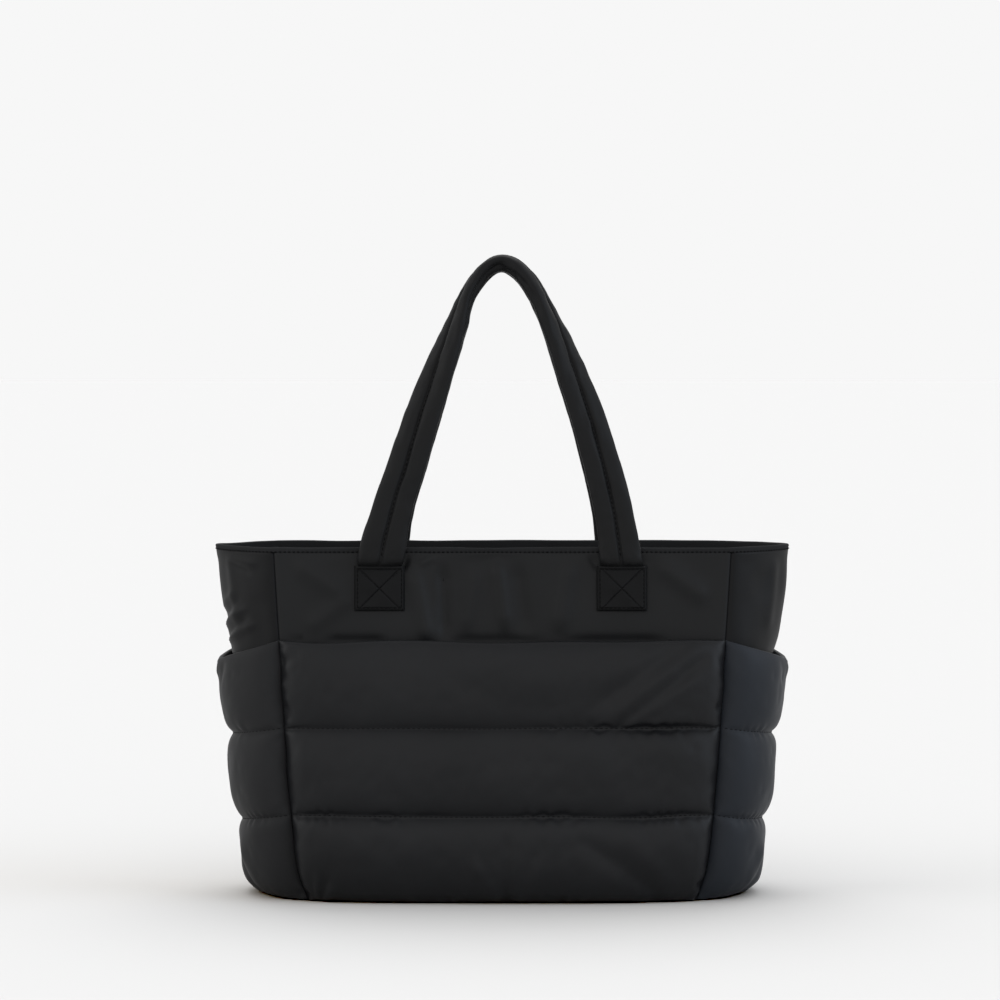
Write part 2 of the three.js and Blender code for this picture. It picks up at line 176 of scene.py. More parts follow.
# Columns: height, width, thickness, turn
STRAP_SECTIONS = np.array([
    (0.0, 0.97, 0.64, 0.0),
    (0.07, 0.91, 0.66, 0.0),
    (0.14, 0.86, 0.66, 0.02),
    (0.3, 0.835, 0.69, 0.14),
    (0.5, 0.81, 0.73, 0.33),
    (0.68, 0.77, 0.8, 0.58),
    (0.84, 0.71, 0.9, 0.85),
    (1.0, 0.69, 1.0, 1.0),
])

# Columns: height of the strap, how far its left and right arms stand to the right, and how much
# wider the left arm is, all in millimetres
ARMS = np.array([
    (261, 0.4, -2.5, 2.4),
    (279, -1.0, -0.6, 3.4),
    (297, -1.1, 1.2, 1.6),
    (316, -0.6, 2.0, 1.0),
    (336, 1.1, 2.1, 1.0),
    (374, 2.2, 1.8, 1.0),
    (412, 3.3, 0.3, 1.0),
    (450, 3.4, -0.3, 0.9),
    (480, 1.2, -0.2, 0.4),
    (503, 0.0, 0.0, 0.0),
])

# Columns: how far a hollow is past the middle of the top (mm), its place round the strap (degrees, 90
# on the face and 180 on the inner edge), half its length (mm), half its width (degrees), depth (mm)
STRAP_HOLLOWS = [
    (-24, 206, 27, 48, 5.6),
    (-6, 186, 6, 26, 1.6),
    (-62, 196, 12, 16, 1.4),
    (13, 214, 7, 12, 1.5),
    (22, 196, 8, 9, 1.5),
    (35, 188, 9, 8, 1.3),
    (46, 176, 8, 10, 1.1),
]


def column(table, name, height):
    """A column of a table, by its number, at any height, through its rows without a kink."""
    knots, values = table[:, 0], table[:, name]
    last = len(knots) - 1
    low = np.maximum(np.arange(last + 1) - 1, 0)
    high = np.minimum(np.arange(last + 1) + 1, last)
    slopes = (values[high] - values[low]) / (knots[high] - knots[low])
    h = np.clip(height, knots[0], knots[-1])
    i = np.clip(np.searchsorted(knots, h) - 1, 0, last - 1)
    span = knots[i + 1] - knots[i]
    t = (h - knots[i]) / span
    near = (2 * t + 1) * (t - 1) ** 2 * values[i] + t * (t - 1) ** 2 * span * slopes[i]
    far = t * t * (3 - 2 * t) * values[i + 1] + t * t * (t - 1) * span * slopes[i + 1]
    return near + far


def section(z):
    """The body's level section: seam, side, depth, swell and rounding at heights z."""
    h = z / BODY_HEIGHT
    seam = column(SECTIONS, 1, h) * HALF_RIM
    side = column(SECTIONS, 2, h) * HALF_RIM
    depth = column(SECTIONS, 3, h) * HALF_DEPTH
    swell = column(SECTIONS, 4, h) * WALL_SWELL
    return seam, side, depth, swell, column(SECTIONS, 5, h)


def wall_point(facing, s, z, offset):
    """Points off the front (facing -1) or back (1) wall: s runs from -1 to 1 between the seams."""
    s, z, offset = np.broadcast_arrays(s, z, offset)
    seam, _, depth, swell, _ = section(z)
    slope = -4 * swell * s**3 / seam
    length = np.hypot(1, slope)
    y = depth + swell * (1 - s**4) + offset / length
    return np.stack([s * seam - slope * offset / length, facing * y, z], -1)


def cubic(handles, u):
    """Points along the cubic curve that has these four handles."""
    weights = [(1 - u) ** 3, 3 * u * (1 - u) ** 2, 3 * u * u * (1 - u), u**3]
    return sum(w * h for w, h in zip(weights, handles))


def gusset_point(side, t, z, offset):
    """Points off the left (side -1) or right (1) side wall: t runs from -1 at its front seam to 1 at its
    back seam."""
    t, z, offset = np.broadcast_arrays(t, z, offset)
    seam, wide, depth, swell, rounding = section(z)
    reach = rounding * (wide - seam)
    handles = [
        np.stack([seam, depth], -1),
        np.stack([seam + reach, depth - 4 * swell * reach / seam], -1),
        np.stack([wide, rounding * depth], -1),
        np.stack([wide, 0 * depth], -1),
    ]
    line = cubic([h[..., None, :] for h in handles], np.linspace(0, 1, CURVE_STEPS + 1)[:, None])
    steps = np.linalg.norm(np.diff(line, axis=-2), axis=-1)
    run = np.concatenate([np.zeros_like(steps[..., :1]), np.cumsum(steps, -1)], -1)
    goal = (1 - np.abs(t)) * run[..., -1]
    i = np.clip((run <= goal[..., None]).sum(-1) - 1, 0, CURVE_STEPS - 1)[..., None]
    start, end = np.take_along_axis(run, i, -1)[..., 0], np.take_along_axis(run, i + 1, -1)[..., 0]
    v = ((i[..., 0] + (goal - start) / (end - start)) / CURVE_STEPS)[..., None]
    point = cubic(handles, v)
    slopes = [3 * (1 - v) ** 2, 6 * v * (1 - v), 3 * v * v]
    tangent = unit(sum(w * (b - a) for w, a, b in zip(slopes, handles, handles[1:])))
    x = point[..., 0] - tangent[..., 1] * offset
    y = point[..., 1] + tangent[..., 0] * offset
    return np.stack([side * x, np.sign(t) * y, z], -1)


def unit(vectors):
    return vectors / np.linalg.norm(vectors, axis=-1, keepdims=True)


def run_along(line):
    """How far it is along a line of points to each of them."""
    return np.concatenate([[0], np.linalg.norm(np.diff(line, axis=0), axis=-1).cumsum()])


def smooth(t):
    """A soft step from 0 to 1."""
    t = np.clip(t, 0, 1)
    return t * t * (3 - 2 * t)


def smoother(t):
    """A softer step for t from 0 to 1, without a kink in its slope."""
    return t**3 * (t * (6 * t - 15) + 10)


def off_seams(s, fade):
    """0 at the seams of a panel and 1 further in than this share of its half."""
    return smooth((1 - np.abs(s)) / fade)


LATTICE = 64
LATTICE_START = (17.3, 29.7)  # where on its lattice a ripple has its origin


def ripple(seed, x, y, size):
    """Smooth noise from about -1 to 1 over a plane, with features about size metres wide."""
    lattice = np.random.default_rng(seed).uniform(-1, 1, (LATTICE, LATTICE))
    x, y = np.broadcast_arrays(x / size + LATTICE_START[0], y / size + LATTICE_START[1])
    i, j = np.floor(x).astype(int), np.floor(y).astype(int)
    u, v = smoother(x - i), smoother(y - j)
    near, far, low, high = i % LATTICE, (i + 1) % LATTICE, j % LATTICE, (j + 1) % LATTICE
    below = lattice[near, low] * (1 - u) + lattice[far, low] * u
    above = lattice[near, high] * (1 - u) + lattice[far, high] * u
    return below * (1 - v) + above * v


def ripples(seed, x, y, table):
    """Ripples of several heights and sizes together; each row of the table takes the next seed."""
    return sum(height * ripple(seed + n, x, y, size) for n, (height, size) in enumerate(table))


def bump(x, centre, width):
    """1 at the centre, falling smoothly to nothing about two widths away."""
    return np.exp(-(((x - centre) / width) ** 2))


FOLD_FADE = 0.35  # share of a fold's length over which each end fades


def folds(table, across, up):
    """The relief of soft folds. Each row is a straight crest or, with a negative height, a dent:
    from (across, up) to (across, up) in millimetres, then its width and height in millimetres."""
    relief = np.zeros(np.broadcast(across, up).shape)
    for row in table:
        x0, z0, x1, z1, width, height = np.array(row) * MM
        run = np.array([x1 - x0, z1 - z0])
        length = np.hypot(*run)
        share = ((across - x0) * run[0] + (up - z0) * run[1]) / length**2
        off = ((across - x0) * run[1] - (up - z0) * run[0]) / length
        ends = smooth(share / FOLD_FADE + 0.5) * smooth((1 - share) / FOLD_FADE + 0.5)
        relief += height * bump(off, 0, width) * ends
    return relief


# Cloth

TINY = 1e-9
TINY_AREA = 1e-12
BLOW = 0.000006  # how far the filling blows the cloth out in a round
REACH = 0.0016  # how far from its start the filling lets the cloth go
ROUNDS = 110
SWEEPS = 4  # over all the threads in a round
SPEED_KEPT = 0.9
THREAD_PULL = 0.9  # the share of a thread's wrong length that a sweep takes out
BIAS_PULL = 0.35  # the same, slantwise
STIFFNESS = 0.35


def pull(a, b, rest, free_a, free_b, give):
    """Moves two sets of points towards their rest lengths apart, in place."""
    way = b - a
    length = np.linalg.norm(way, axis=-1, keepdims=True) + TINY
    share = give * (1 - rest[..., None] / length) / np.maximum(free_a + free_b, TINY)
    way *= share
    a += free_a * way
    b -= free_b * way


def bends(points):
    """How far each inner point of a grid lies from the middle of its neighbours."""
    around = points[:-2, 1:-1] + points[2:, 1:-1] + points[1:-1, :-2] + points[1:-1, 2:]
    return around / 4 - points[1:-1, 1:-1]


def stiffen(points, free, share):
    """Smooths out the sharpest bends and leaves the broad ones."""
    bend = np.zeros_like(points)
    bend[1:-1, 1:-1] = bends(points)
    points[1:-1, 1:-1] -= share * free[1:-1, 1:-1] * bends(bend)


def normals_of(points, outward):
    """Unit normals of a grid of points, turned to the side that outward points to."""
    across, up = np.gradient(points, axis=1), np.gradient(points, axis=0)
    normal = np.cross(across, up)
    normal /= np.linalg.norm(normal, axis=-1, keepdims=True) + TINY_AREA
    return normal * np.sign((normal * outward).sum(-1).mean())


def settle(start, across, up, free, outward, keep_off):
    """Position-based cloth on a grid: pinned where free is 0, cut to the lengths across and up, blown out
    along its normals, held near its start by the filling behind it, and moved by keep_off out of what it
    may not enter."""
    points = start.copy()
    before = points.copy()
    first_across, first_up = lengths(start)
    wider, taller = across / first_across, up / first_up
    grown = (wider[:-1] + wider[1:] + taller[:, :-1] + taller[:, 1:]) / 4
    rising = np.linalg.norm(start[1:, 1:] - start[:-1, :-1], axis=-1)
    falling = np.linalg.norm(start[1:, :-1] - start[:-1, 1:], axis=-1)
    diagonals = [
        (slice(None, -1), slice(1, None), grown * rising),
        (slice(1, None), slice(None, -1), grown * falling),
    ]
    for _ in range(ROUNDS):
        drift = (points - before) * SPEED_KEPT
        before = points.copy()
        points += free * (drift + BLOW * normals_of(points, outward))
        for _ in range(SWEEPS):
            for k in (0, 1):
                a, b = points[:, k:-1:2], points[:, k + 1 :: 2]
                pull(a, b, across[:, k::2], free[:, k:-1:2], free[:, k + 1 :: 2], THREAD_PULL)
                a, b = points[k:-1:2], points[k + 1 :: 2]
                pull(a, b, up[k::2], free[k:-1:2], free[k + 1 :: 2], THREAD_PULL)
            for k in (0, 1):
                for near, far, slant in diagonals:
                    a, b = points[k:-1:2, near], points[k + 1 :: 2, far]
                    pull(a, b, slant[k::2], free[k:-1:2, near], free[k + 1 :: 2, far], BIAS_PULL)
            diagonals.reverse()
        stiffen(points, free, STIFFNESS)
        moved = points - start
        far = np.linalg.norm(moved, axis=-1, keepdims=True)
        points = start + moved * np.minimum(1, REACH / np.maximum(far, TINY))
        points = keep_off(points)
    return points


def lengths(points):
    """The distances between neighbours of a grid, across and up."""
    across = np.linalg.norm(np.diff(points, axis=1), axis=-1)
    up = np.linalg.norm(np.diff(points, axis=0), axis=-1)
    return across, up


# Meshes


def add_object(name, data):
    """Puts a mesh, a light or a camera into the scene."""
    thing = bpy.data.objects.new(name, data)
    bpy.context.scene.collection.objects.link(thing)
    return thing


def add_piece(name, mesh, material):
    mesh.shade_smooth()
    mesh.materials.append(material)
    piece = add_object(name, mesh)
    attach(piece, "root")
    return piece


def shell(name, rings, material, replaces=(), closed=False):
    """A closed mesh through rings of points. An open row of rings gets its ends closed across."""
    count, sides = rings.shape[:2]
    k = np.arange(count if closed else count - 1)[:, None]
    i = np.arange(sides)[None, :]
    near, far = k * sides, (k + 1) % count * sides
    j = (i + 1) % sides
    sides_round = np.broadcast_arrays(near + i, far + i, far + j, near + j)
    faces = np.stack(sides_round, -1).reshape(-1, 4).tolist()
    if not closed:
        for start, flip in ((0, 1), ((count - 1) * sides, -1)):
            for a in range(sides // 2 - 1):
                across = [start + q for q in (a, a + 1, sides - 2 - a, sides - 1 - a)]
                faces.append(across[::flip])
    flat = rings.reshape(-1, 3)
    mesh = bpy.data.meshes.new(name)
    mesh.from_pydata(flat.tolist(), [], faces)
    first, second, third = (flat[[f[n] for f in faces]] for n in (0, 1, 2))
    if np.einsum("ij,ij->", first, np.cross(second, third)) < 0:
        mesh.flip_normals()
    along = np.linalg.norm(np.diff(rings, axis=0), axis=-1).mean(1).cumsum()
    around = np.linalg.norm(np.diff(rings, axis=1), axis=-1).mean(0).cumsum()
    cloth = np.zeros((count, sides, 3))
    cloth[1:, :, 0] = along[:, None]
    cloth[:, 1:, 1] = around[None, :]
    layer = mesh.attributes.new("cloth", "FLOAT_VECTOR", "POINT")
    layer.data.foreach_set("vector", cloth.ravel())
    piece = add_piece(name, mesh, material)
    if replaces:
        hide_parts(*replaces)
    return piece


LIP_POINTS = 8


def sandwich(outer, inner, lip):
    """Rings up the outside of a panel, over its rounded top edge and down its inside, by columns."""
    turn = np.linspace(0, math.pi, LIP_POINTS + 2)[1:-1, None, None]
    middle, half = (outer[-1] + inner[-1]) / 2, (outer[-1] - inner[-1]) / 2
    rise = np.broadcast_to(np.asarray(lip), half.shape[:1])[:, None] * np.array([0, 0, 1.0])
    top = middle + half * np.cos(turn) + rise * np.sin(turn)
    return np.concatenate([outer, top, inner[::-1]]).swapaxes(0, 1)


THREAD_RINGS = 5
THREAD_SIDES = 6
LENGTH_SWAY = 0.08  # how much a stitch's length varies
END_STRAY = 0.25  # how far its ends stray sideways, in radii
THREAD_END = 0.35  # how thick its ends are, in radii
THREAD_TAPER = 0.6
THREAD_RISE = 0.8  # how far its middle stands higher than its ends, in radii
THREAD_DIP = 0.3  # how deep its ends lie, in radii

# Stitches: length, gap and radius
QUILT_STITCH = (0.0027, 0.0012, 0.00036)
HEM_STITCH = (0.0022, 0.0013, 0.00045)
STRAP_STITCH = (0.0034, 0.0006, 0.0004)
PATCH_STITCH = (0.0022, 0.001, 0.00026)


def stitches(name, line, outward, size, closed=False):
    """A seam's stitches along a line of points: short rounded threads that dip in at their ends."""
    length, gap, radius = size
    if closed:
        line, outward = np.concatenate([line, line[:1]]), np.concatenate([outward, outward[:1]])
    run = run_along(line)
    count = int(run[-1] / (length + gap))
    pitch = run[-1] / count
    sway = np.random.default_rng(len(name) + count).uniform(-1, 1, (count, 2))
    t = np.linspace(0, 1, THREAD_RINGS)
    reach = (t - 0.5) * (pitch - gap) * (1 + LENGTH_SWAY * sway[:, :1])
    at = (np.arange(count)[:, None] + 0.5) * pitch + reach
    middle = np.stack([np.interp(at, run, line[:, k]) for k in range(3)], -1)
    up = unit(np.stack([np.interp(at, run, outward[:, k]) for k in range(3)], -1))
    side = np.cross(unit(middle[:, -1:] - middle[:, :1]), up)
    middle = middle + side * (END_STRAY * radius * sway[:, 1:] * (2 * t - 1))[..., None]
    arch = np.sin(math.pi * t)
    thick = radius * (THREAD_END + (1 - THREAD_END) * arch**THREAD_TAPER)
    lift = radius * (THREAD_RISE * arch - THREAD_DIP)
    angle = np.linspace(0, 2 * math.pi, THREAD_SIDES, endpoint=False)
    out = (lift[:, None] + thick[:, None] * np.sin(angle))[None, :, :, None]
    across = (thick[:, None] * np.cos(angle))[None, :, :, None]
    points = middle[:, :, None] + up[:, :, None] * out + side[:, :, None] * across
    ring = np.arange(THREAD_SIDES)
    start = THREAD_SIDES * np.arange(THREAD_RINGS - 1)[:, None]
    near, far = start + ring, start + (ring + 1) % THREAD_SIDES
    skin = np.stack([near, far, far + THREAD_SIDES, near + THREAD_SIDES], -1).reshape(-1, 4)
    ends = np.stack([ring[::-1], ring + start[-1] + THREAD_SIDES])
    first = (THREAD_RINGS * THREAD_SIDES * np.arange(count))[:, None, None]
    faces = (skin + first).reshape(-1, 4).tolist() + (ends + first).reshape(-1, THREAD_SIDES).tolist()
    mesh = bpy.data.meshes.new(name)
    mesh.from_pydata(points.reshape(-1, 3).tolist(), [], faces)
    # The stitches' dark thread also carries the painted shade of the grooves they lie in
    add_piece(name, mesh, thread_and_groove_shade)


def stitch_lines(name, outer, outward, rows):
    """The quilting threads in the grooves between a panel's channels, along these rows of its points."""
    outward = np.broadcast_to(outward, outer.shape)
    for n, row in enumerate(rows, 1):
        line, out = outer[row, 2:-2], outward[row, 2:-2]
        stitches(f"{name}_stitches_{n}", line, out, QUILT_STITCH)


# Materials


WAVE_RADIANS = 20  # to the metre, in a wave texture whose scale is 1
TONE_SCALE = 9
TONE_SPREAD = 0.18
CREASE_SCALE = 55
CREASE_DEPTH = 0.0012
WEAVE_DEPTH = 0.00004
POINTED = (0.52, 0.62)  # how sharp an edge is where its paler tone, partly rubbing and partly a painted highlight, starts and where it is full
RUB_AND_HIGHLIGHT_GAIN = 5


def set_inputs(node, **values):
    """Sets a node's inputs, whose names are written with _ for a space."""
    for name, value in values.items():
        node.inputs[name.replace("_", " ")].default_value = value


def add_node(nodes, kind, **values):
    node = nodes.new("ShaderNode" + kind)
    set_inputs(node, **values)
    return node


def shades_of(nodes, colour, low, high):
    """A ramp from a darker to a lighter shade of a colour."""
    shades = add_node(nodes, "ValToRGB")
    for element, gain in zip(shades.color_ramp.elements, (low, high)):
        element.color = [c * gain for c in colour] + [1]
    return shades


def new_material(name, **values):
    material = bpy.data.materials.new(name)
    material.use_nodes = True
    shader = material.node_tree.nodes["Principled BSDF"]
    set_inputs(shader, **values)
    return material, material.node_tree.nodes, material.node_tree.links, shader


def nylon(name, colour, roughness, specular, crinkle=0.12, weave=0.0004, rubbing_and_edge_highlight=0.14, sewn=True):
    """Woven nylon: a fine plain weave and soft crinkles in the bump, a slightly uneven tone, and sharp
    edges painted paler, partly as rubbing and partly as a painted highlight where edges catch the light.
    A sewn piece carries its threads' directions; another takes them from its place."""
    material, nodes, links, shader = new_material(name, Roughness=roughness, Specular_IOR_Level=specular)
    place = add_node(nodes, "TexCoord")
    threads_lie = place.outputs["Object"]
    if sewn:
        cloth = add_node(nodes, "Attribute")
        cloth.attribute_name = "cloth"
        threads_lie = cloth.outputs["Vector"]

    tone = add_node(nodes, "TexNoise", Scale=TONE_SCALE, Detail=3)
    links.new(place.outputs["Object"], tone.inputs["Vector"])
    shades = shades_of(nodes, colour, 1 - TONE_SPREAD, 1 + TONE_SPREAD)
    shades.color_ramp.elements[0].position = 0.3
    shades.color_ramp.elements[1].position = 0.72
    links.new(tone.outputs["Fac"], shades.inputs["Fac"])

    woven = add_node(nodes, "Math")
    woven.operation = "MULTIPLY"
    scale = math.pi / WAVE_RADIANS / weave
    for axis, factor in zip(("X", "Y"), woven.inputs):
        wave = add_node(nodes, "TexWave", Scale=scale, Distortion=0.6, Detail=1, Detail_Scale=2)
        wave.bands_direction = axis
        links.new(threads_lie, wave.inputs["Vector"])
        links.new(wave.outputs["Fac"], factor)

    # Painted highlight, partly rubbing too: sharp edges, found by their pointiness, are mixed towards a
    # paler shade of the cloth's colour
    surface = add_node(nodes, "NewGeometry")
    edges = add_node(nodes, "MapRange", From_Min=POINTED[0], From_Max=POINTED[1], To_Max=rubbing_and_edge_highlight)
    links.new(surface.outputs["Pointiness"], edges.inputs["Value"])
    rubbed_and_lit_edges = add_node(nodes, "Mix")
    rubbed_and_lit_edges.data_type = "RGBA"
    rubbed_and_lit_edges.inputs["B"].default_value = [c * RUB_AND_HIGHLIGHT_GAIN for c in colour] + [1]
    links.new(edges.outputs["Result"], rubbed_and_lit_edges.inputs["Factor"])
    links.new(shades.outputs["Color"], rubbed_and_lit_edges.inputs["A"])
    links.new(rubbed_and_lit_edges.outputs["Result"], shader.inputs["Base Color"])

    creases = add_node(nodes, "TexNoise", Scale=CREASE_SCALE, Detail=4, Roughness=0.45)
    links.new(place.outputs["Object"], creases.inputs["Vector"])
    grain = add_node(nodes, "Bump", Strength=0.35, Distance=WEAVE_DEPTH)
    links.new(woven.outputs["Value"], grain.inputs["Height"])
    soft = add_node(nodes, "Bump", Strength=crinkle, Distance=CREASE_DEPTH)
    links.new(creases.outputs["Fac"], soft.inputs["Height"])
    links.new(grain.outputs["Normal"], soft.inputs["Normal"])
    links.new(soft.outputs["Normal"], shader.inputs["Normal"])
    return material


def thread(name, colour):
    material, nodes, links, shader = new_material(name, Roughness=0.7, Specular_IOR_Level=0.08)
    place = add_node(nodes, "TexCoord")
    twist = add_node(nodes, "TexNoise", Scale=900)
    links.new(place.outputs["Object"], twist.inputs["Vector"])
    shades = shades_of(nodes, colour, 0.7, 1.4)
    links.new(twist.outputs["Fac"], shades.inputs["Fac"])
    links.new(shades.outputs["Color"], shader.inputs["Base Color"])
    return material


# Each cloth has its colour, roughness and specular level
plain = nylon("plain nylon", (0.0052, 0.0055, 0.006), 0.5, 0.16)
hem_cloth = nylon("hem nylon", (0.0145, 0.0148, 0.0155), 0.7, 0.03, rubbing_and_edge_highlight=0)
quilted = nylon("quilted nylon", (0.0056, 0.0059, 0.0068), 0.47, 0.175)
# Painted light: the side pockets take lighter copies of the quilted nylon, and the right one a bluish
# copy that stands for bluish light falling from the right
left_quilted_lit_copy = nylon("left quilted nylon lit copy", (0.0135, 0.0137, 0.0145), 0.54, 0.09)
right_quilted_blue_lit_copy = nylon("right quilted nylon blue lit copy", (0.0125, 0.0145, 0.0182), 0.5, 0.12)
# Painted shade: the side walls take a darker copy of the plain nylon, which takes back the light that
# falls on them
side_cloth_shaded_copy = nylon("side nylon shaded copy", (0.0034, 0.0035, 0.0039), 0.5, 0.115)
strap = nylon("strap nylon", (0.0044, 0.0045, 0.0048), 0.55, 0.125, crinkle=0.2)
patch_cloth = nylon("patch nylon", (0.004, 0.0041, 0.0044), 0.62, 0.1, crinkle=0.1, weave=0.0005)
base_cloth = nylon("base nylon", (0.0052, 0.0055, 0.006), 0.5, 0.16, sewn=False)
# Partly real thread colour and partly painted shade: the thread is made darker than the cloth, so that it
# also stands for the shadow in the stitched grooves
thread_and_groove_shade = thread("sewing thread", (0.0024, 0.0024, 0.0026))


# Quilted panels

# Columns: from (across, up) to (across, up), width and height of the crest, in millimetres
FRONT_POCKET_FOLDS = [
    (76, 136, 150, 198, 4.5, 2.2),
    (84, 134, 152, 188, 3.5, -2.0),
    (92, 138, 156, 180, 4, 1.6),
    (60, 146, 132, 196, 5, -1.6),
    (24, 150, 96, 168, 6, -1.2),
    (-120, 150, -86, 186, 9, -0.9),
    (-60, 196, 10, 150, 12, -1.2),
    (-30, 178, 12, 190, 6, 0.9),
    (30, 128, 80, 112, 9, 1.0),
    (110, 126, 162, 104, 12, 1.2),
    (-40, 122, -62, 96, 8, 0.7),
    (-164, 120, -120, 82, 12, 1.0),
    (4, 1, 5, 56, 2.4, -1.8),
    (-3, 3, -24, 34, 4, 1.9),
    (13, 2, 36, 30, 5, 1.6),
    (22, 1, 50, 16, 3, -1.3),
    (-158, 1, -150, 24, 2.0, 1.8),
    (-157, 1, -143, 21, 2.0, -2.0),
    (-155, 1, -136, 15, 2.0, 1.8),
    (-150, 0, -127, 8, 2.0, -1.8),
    (140, 2, 66, 50, 7, -2.6),
    (146, 8, 92, 58, 7, 1.9),
    (132, 0, 84, 22, 4, 1.7),
    (60, 62, 96, 40, 7, 1.2),
]


def fullness(share, open_mouth):
    """0 on a stitched line and about 1 across a channel, which thins towards a pocket's open mouth."""
    span = QUILT_RISE / CHANNELS
    within = share * CHANNELS % 1
    top = share > 1 - TINY
    below = np.where(top, 1.0, within) * span
    above = np.where(top, 0.0, 1 - within) * span
    if open_mouth:
        above = np.where(share > 1 - 1 / CHANNELS + TINY, span, above)
    gap = np.minimum(below, above)
    crown = 1 - PUFF_CROWN + PUFF_CROWN * np.sin(math.pi * np.minimum(below / span, 1))
    full = crown * (1 - np.exp(-((gap / LINE_WIDTH) ** LINE_POWER)))
    if open_mouth:
        full = full * (1 - MOUTH_THINNING * np.exp(-(1 - share) * QUILT_RISE / MOUTH_REACH))
    return full


ROW_BUNCHING = 0.6


def quilt_rows(per_channel):
    """Heights up a quilted panel as shares, a little closer together near the stitched lines."""
    even = np.linspace(0, 1, per_channel + 1)
    bunched = (1 - np.cos(math.pi * even)) / 2
    step = (1 - ROW_BUNCHING) * even + ROW_BUNCHING * bunched
    rows = [(c + step[1:]) / CHANNELS for c in range(CHANNELS)]
    return np.concatenate([[0.0], *rows])


def bunched_columns(count, ends):
    """Columns from -1 to 1, closer together at both ends."""
    even = np.linspace(-1, 1, count)
    return (1 - ends) * even + ends * np.sin(even * math.pi / 2)


# Tables of ripples have two columns, height and size. Puckers and eased lengths are shares of a length.
PUCKERS = [(1.8, 0.045), (1.9, 0.012)]
MOST_PUCKERED = 1.6
PUCKER_BAND = 0.018  # share of a panel's height, from a stitched line, over which the cloth gathers
EASE = 0.3  # how much of the length that it is short of, next to a seam, the cloth is given
EASE_RIPPLES = [(0.5, 0.02)]
EASE_LEAST = 0.6
EASE_REACH = 0.012
FIRST_RIPPLES = [(0.0005, 0.006)]


def sew_quilt(start, share, seam_gap, outward, seed, pucker, keep_off):
    """The face of a padded panel: held along its edges and stitched lines, cut longer than the stitching,
    so that it gathers there, and blown out by its filling."""
    across, up = lengths(start)
    x = np.concatenate([[0], across.mean(0).cumsum()])[None, :]
    height = start[:, :, 2].mean(1)[:, None]
    lines = np.abs(share * CHANNELS - np.round(share * CHANNELS)) / CHANNELS
    near_line = np.exp(-lines[:, None] / PUCKER_BAND)
    uneven = np.clip(ripples(seed, x[:, 1:], height, PUCKERS), 0, MOST_PUCKERED)
    across = across * (1 + pucker * near_line * uneven)
    short = up.max(axis=1, keepdims=True) - up
    eased = EASE_LEAST + ripples(seed + 2, x, height[1:], EASE_RIPPLES)
    up = up + EASE * short * np.exp(-seam_gap / EASE_REACH) * eased
    free = np.ones(start.shape[:2])
    free[:, [0, -1]] = 0
    free[lines < TINY] = 0
    free = free[..., None]
    seeded = start + free * outward * ripples(seed + 3, x, height, FIRST_RIPPLES)[..., None]
    return settle(seeded, across, up, free, outward, keep_off)


LIP_SHARE = 0.35
LIP_LIMITS = (0.0006, 0.0018)


def lip_of(thickness):
    """How far the rounded top edge of a padded panel rises."""
    return np.clip(thickness * LIP_SHARE, *LIP_LIMITS)


def add_pocket(name, outer, inner, lip, outward, cloth):
    piece = shell(f"{name}_quilt", sandwich(outer, inner, lip), cloth, [name])
    stitch_lines(name, outer, outward, (POCKET_ROWS, 2 * POCKET_ROWS))


def near_mouth(rows, band):
    """0 up to the last band of a pocket's height and 1 at its mouth."""
    return smooth((rows - 1 + band) / band)


SUNK = 0.0011
SUNK_WIDTH = 0.0018


def sunk_seam(seam_gap):
    """How a pocket's padding thins where its edge is sewn in, seam_gap metres from the seam."""
    return SUNK * bump(seam_gap, 0, SUNK_WIDTH)


CHANNEL_STRAY = 0.0005
SEAM_RIPPLES = [(0.0006, 0.016)]
STRAY_REACH = 0.01


def seam_strays(side, z):
    """How far the front seam on one side runs outside its place: a little out beside each full channel,
    and in where the stitched lines draw it."""
    within = np.clip((z - QUILT_FOOT) / QUILT_RISE, 0, 1) * CHANNELS % 1
    regular = CHANNEL_STRAY * (np.sin(math.pi * within) - 0.5)
    return regular + ripples(SEAM_SEED, side + 0 * z, z, SEAM_RIPPLES)


# Columns: place across the mouth, half its width, share
GAPES = [
    (-0.137, 0.03, 1),
    (-0.004, 0.035, 1),
    (0.092, 0.035, 0.8),
]
GAPE = 0.002
GAPE_BAND = 0.2  # share of the height over which the mouth gapes
GAPE_DROP = 0.0011
GAPE_DROP_BAND = 0.15
FRONT_SWAY = [(0.0009, 0.06)]
FRONT_RIPPLES = [(0.0012, 0.045), (0.0005, 0.018)]
FRONT_PUCKER = 0.05
FRONT_CREASED = 0.002  # how thick the padding is where creases have their full height


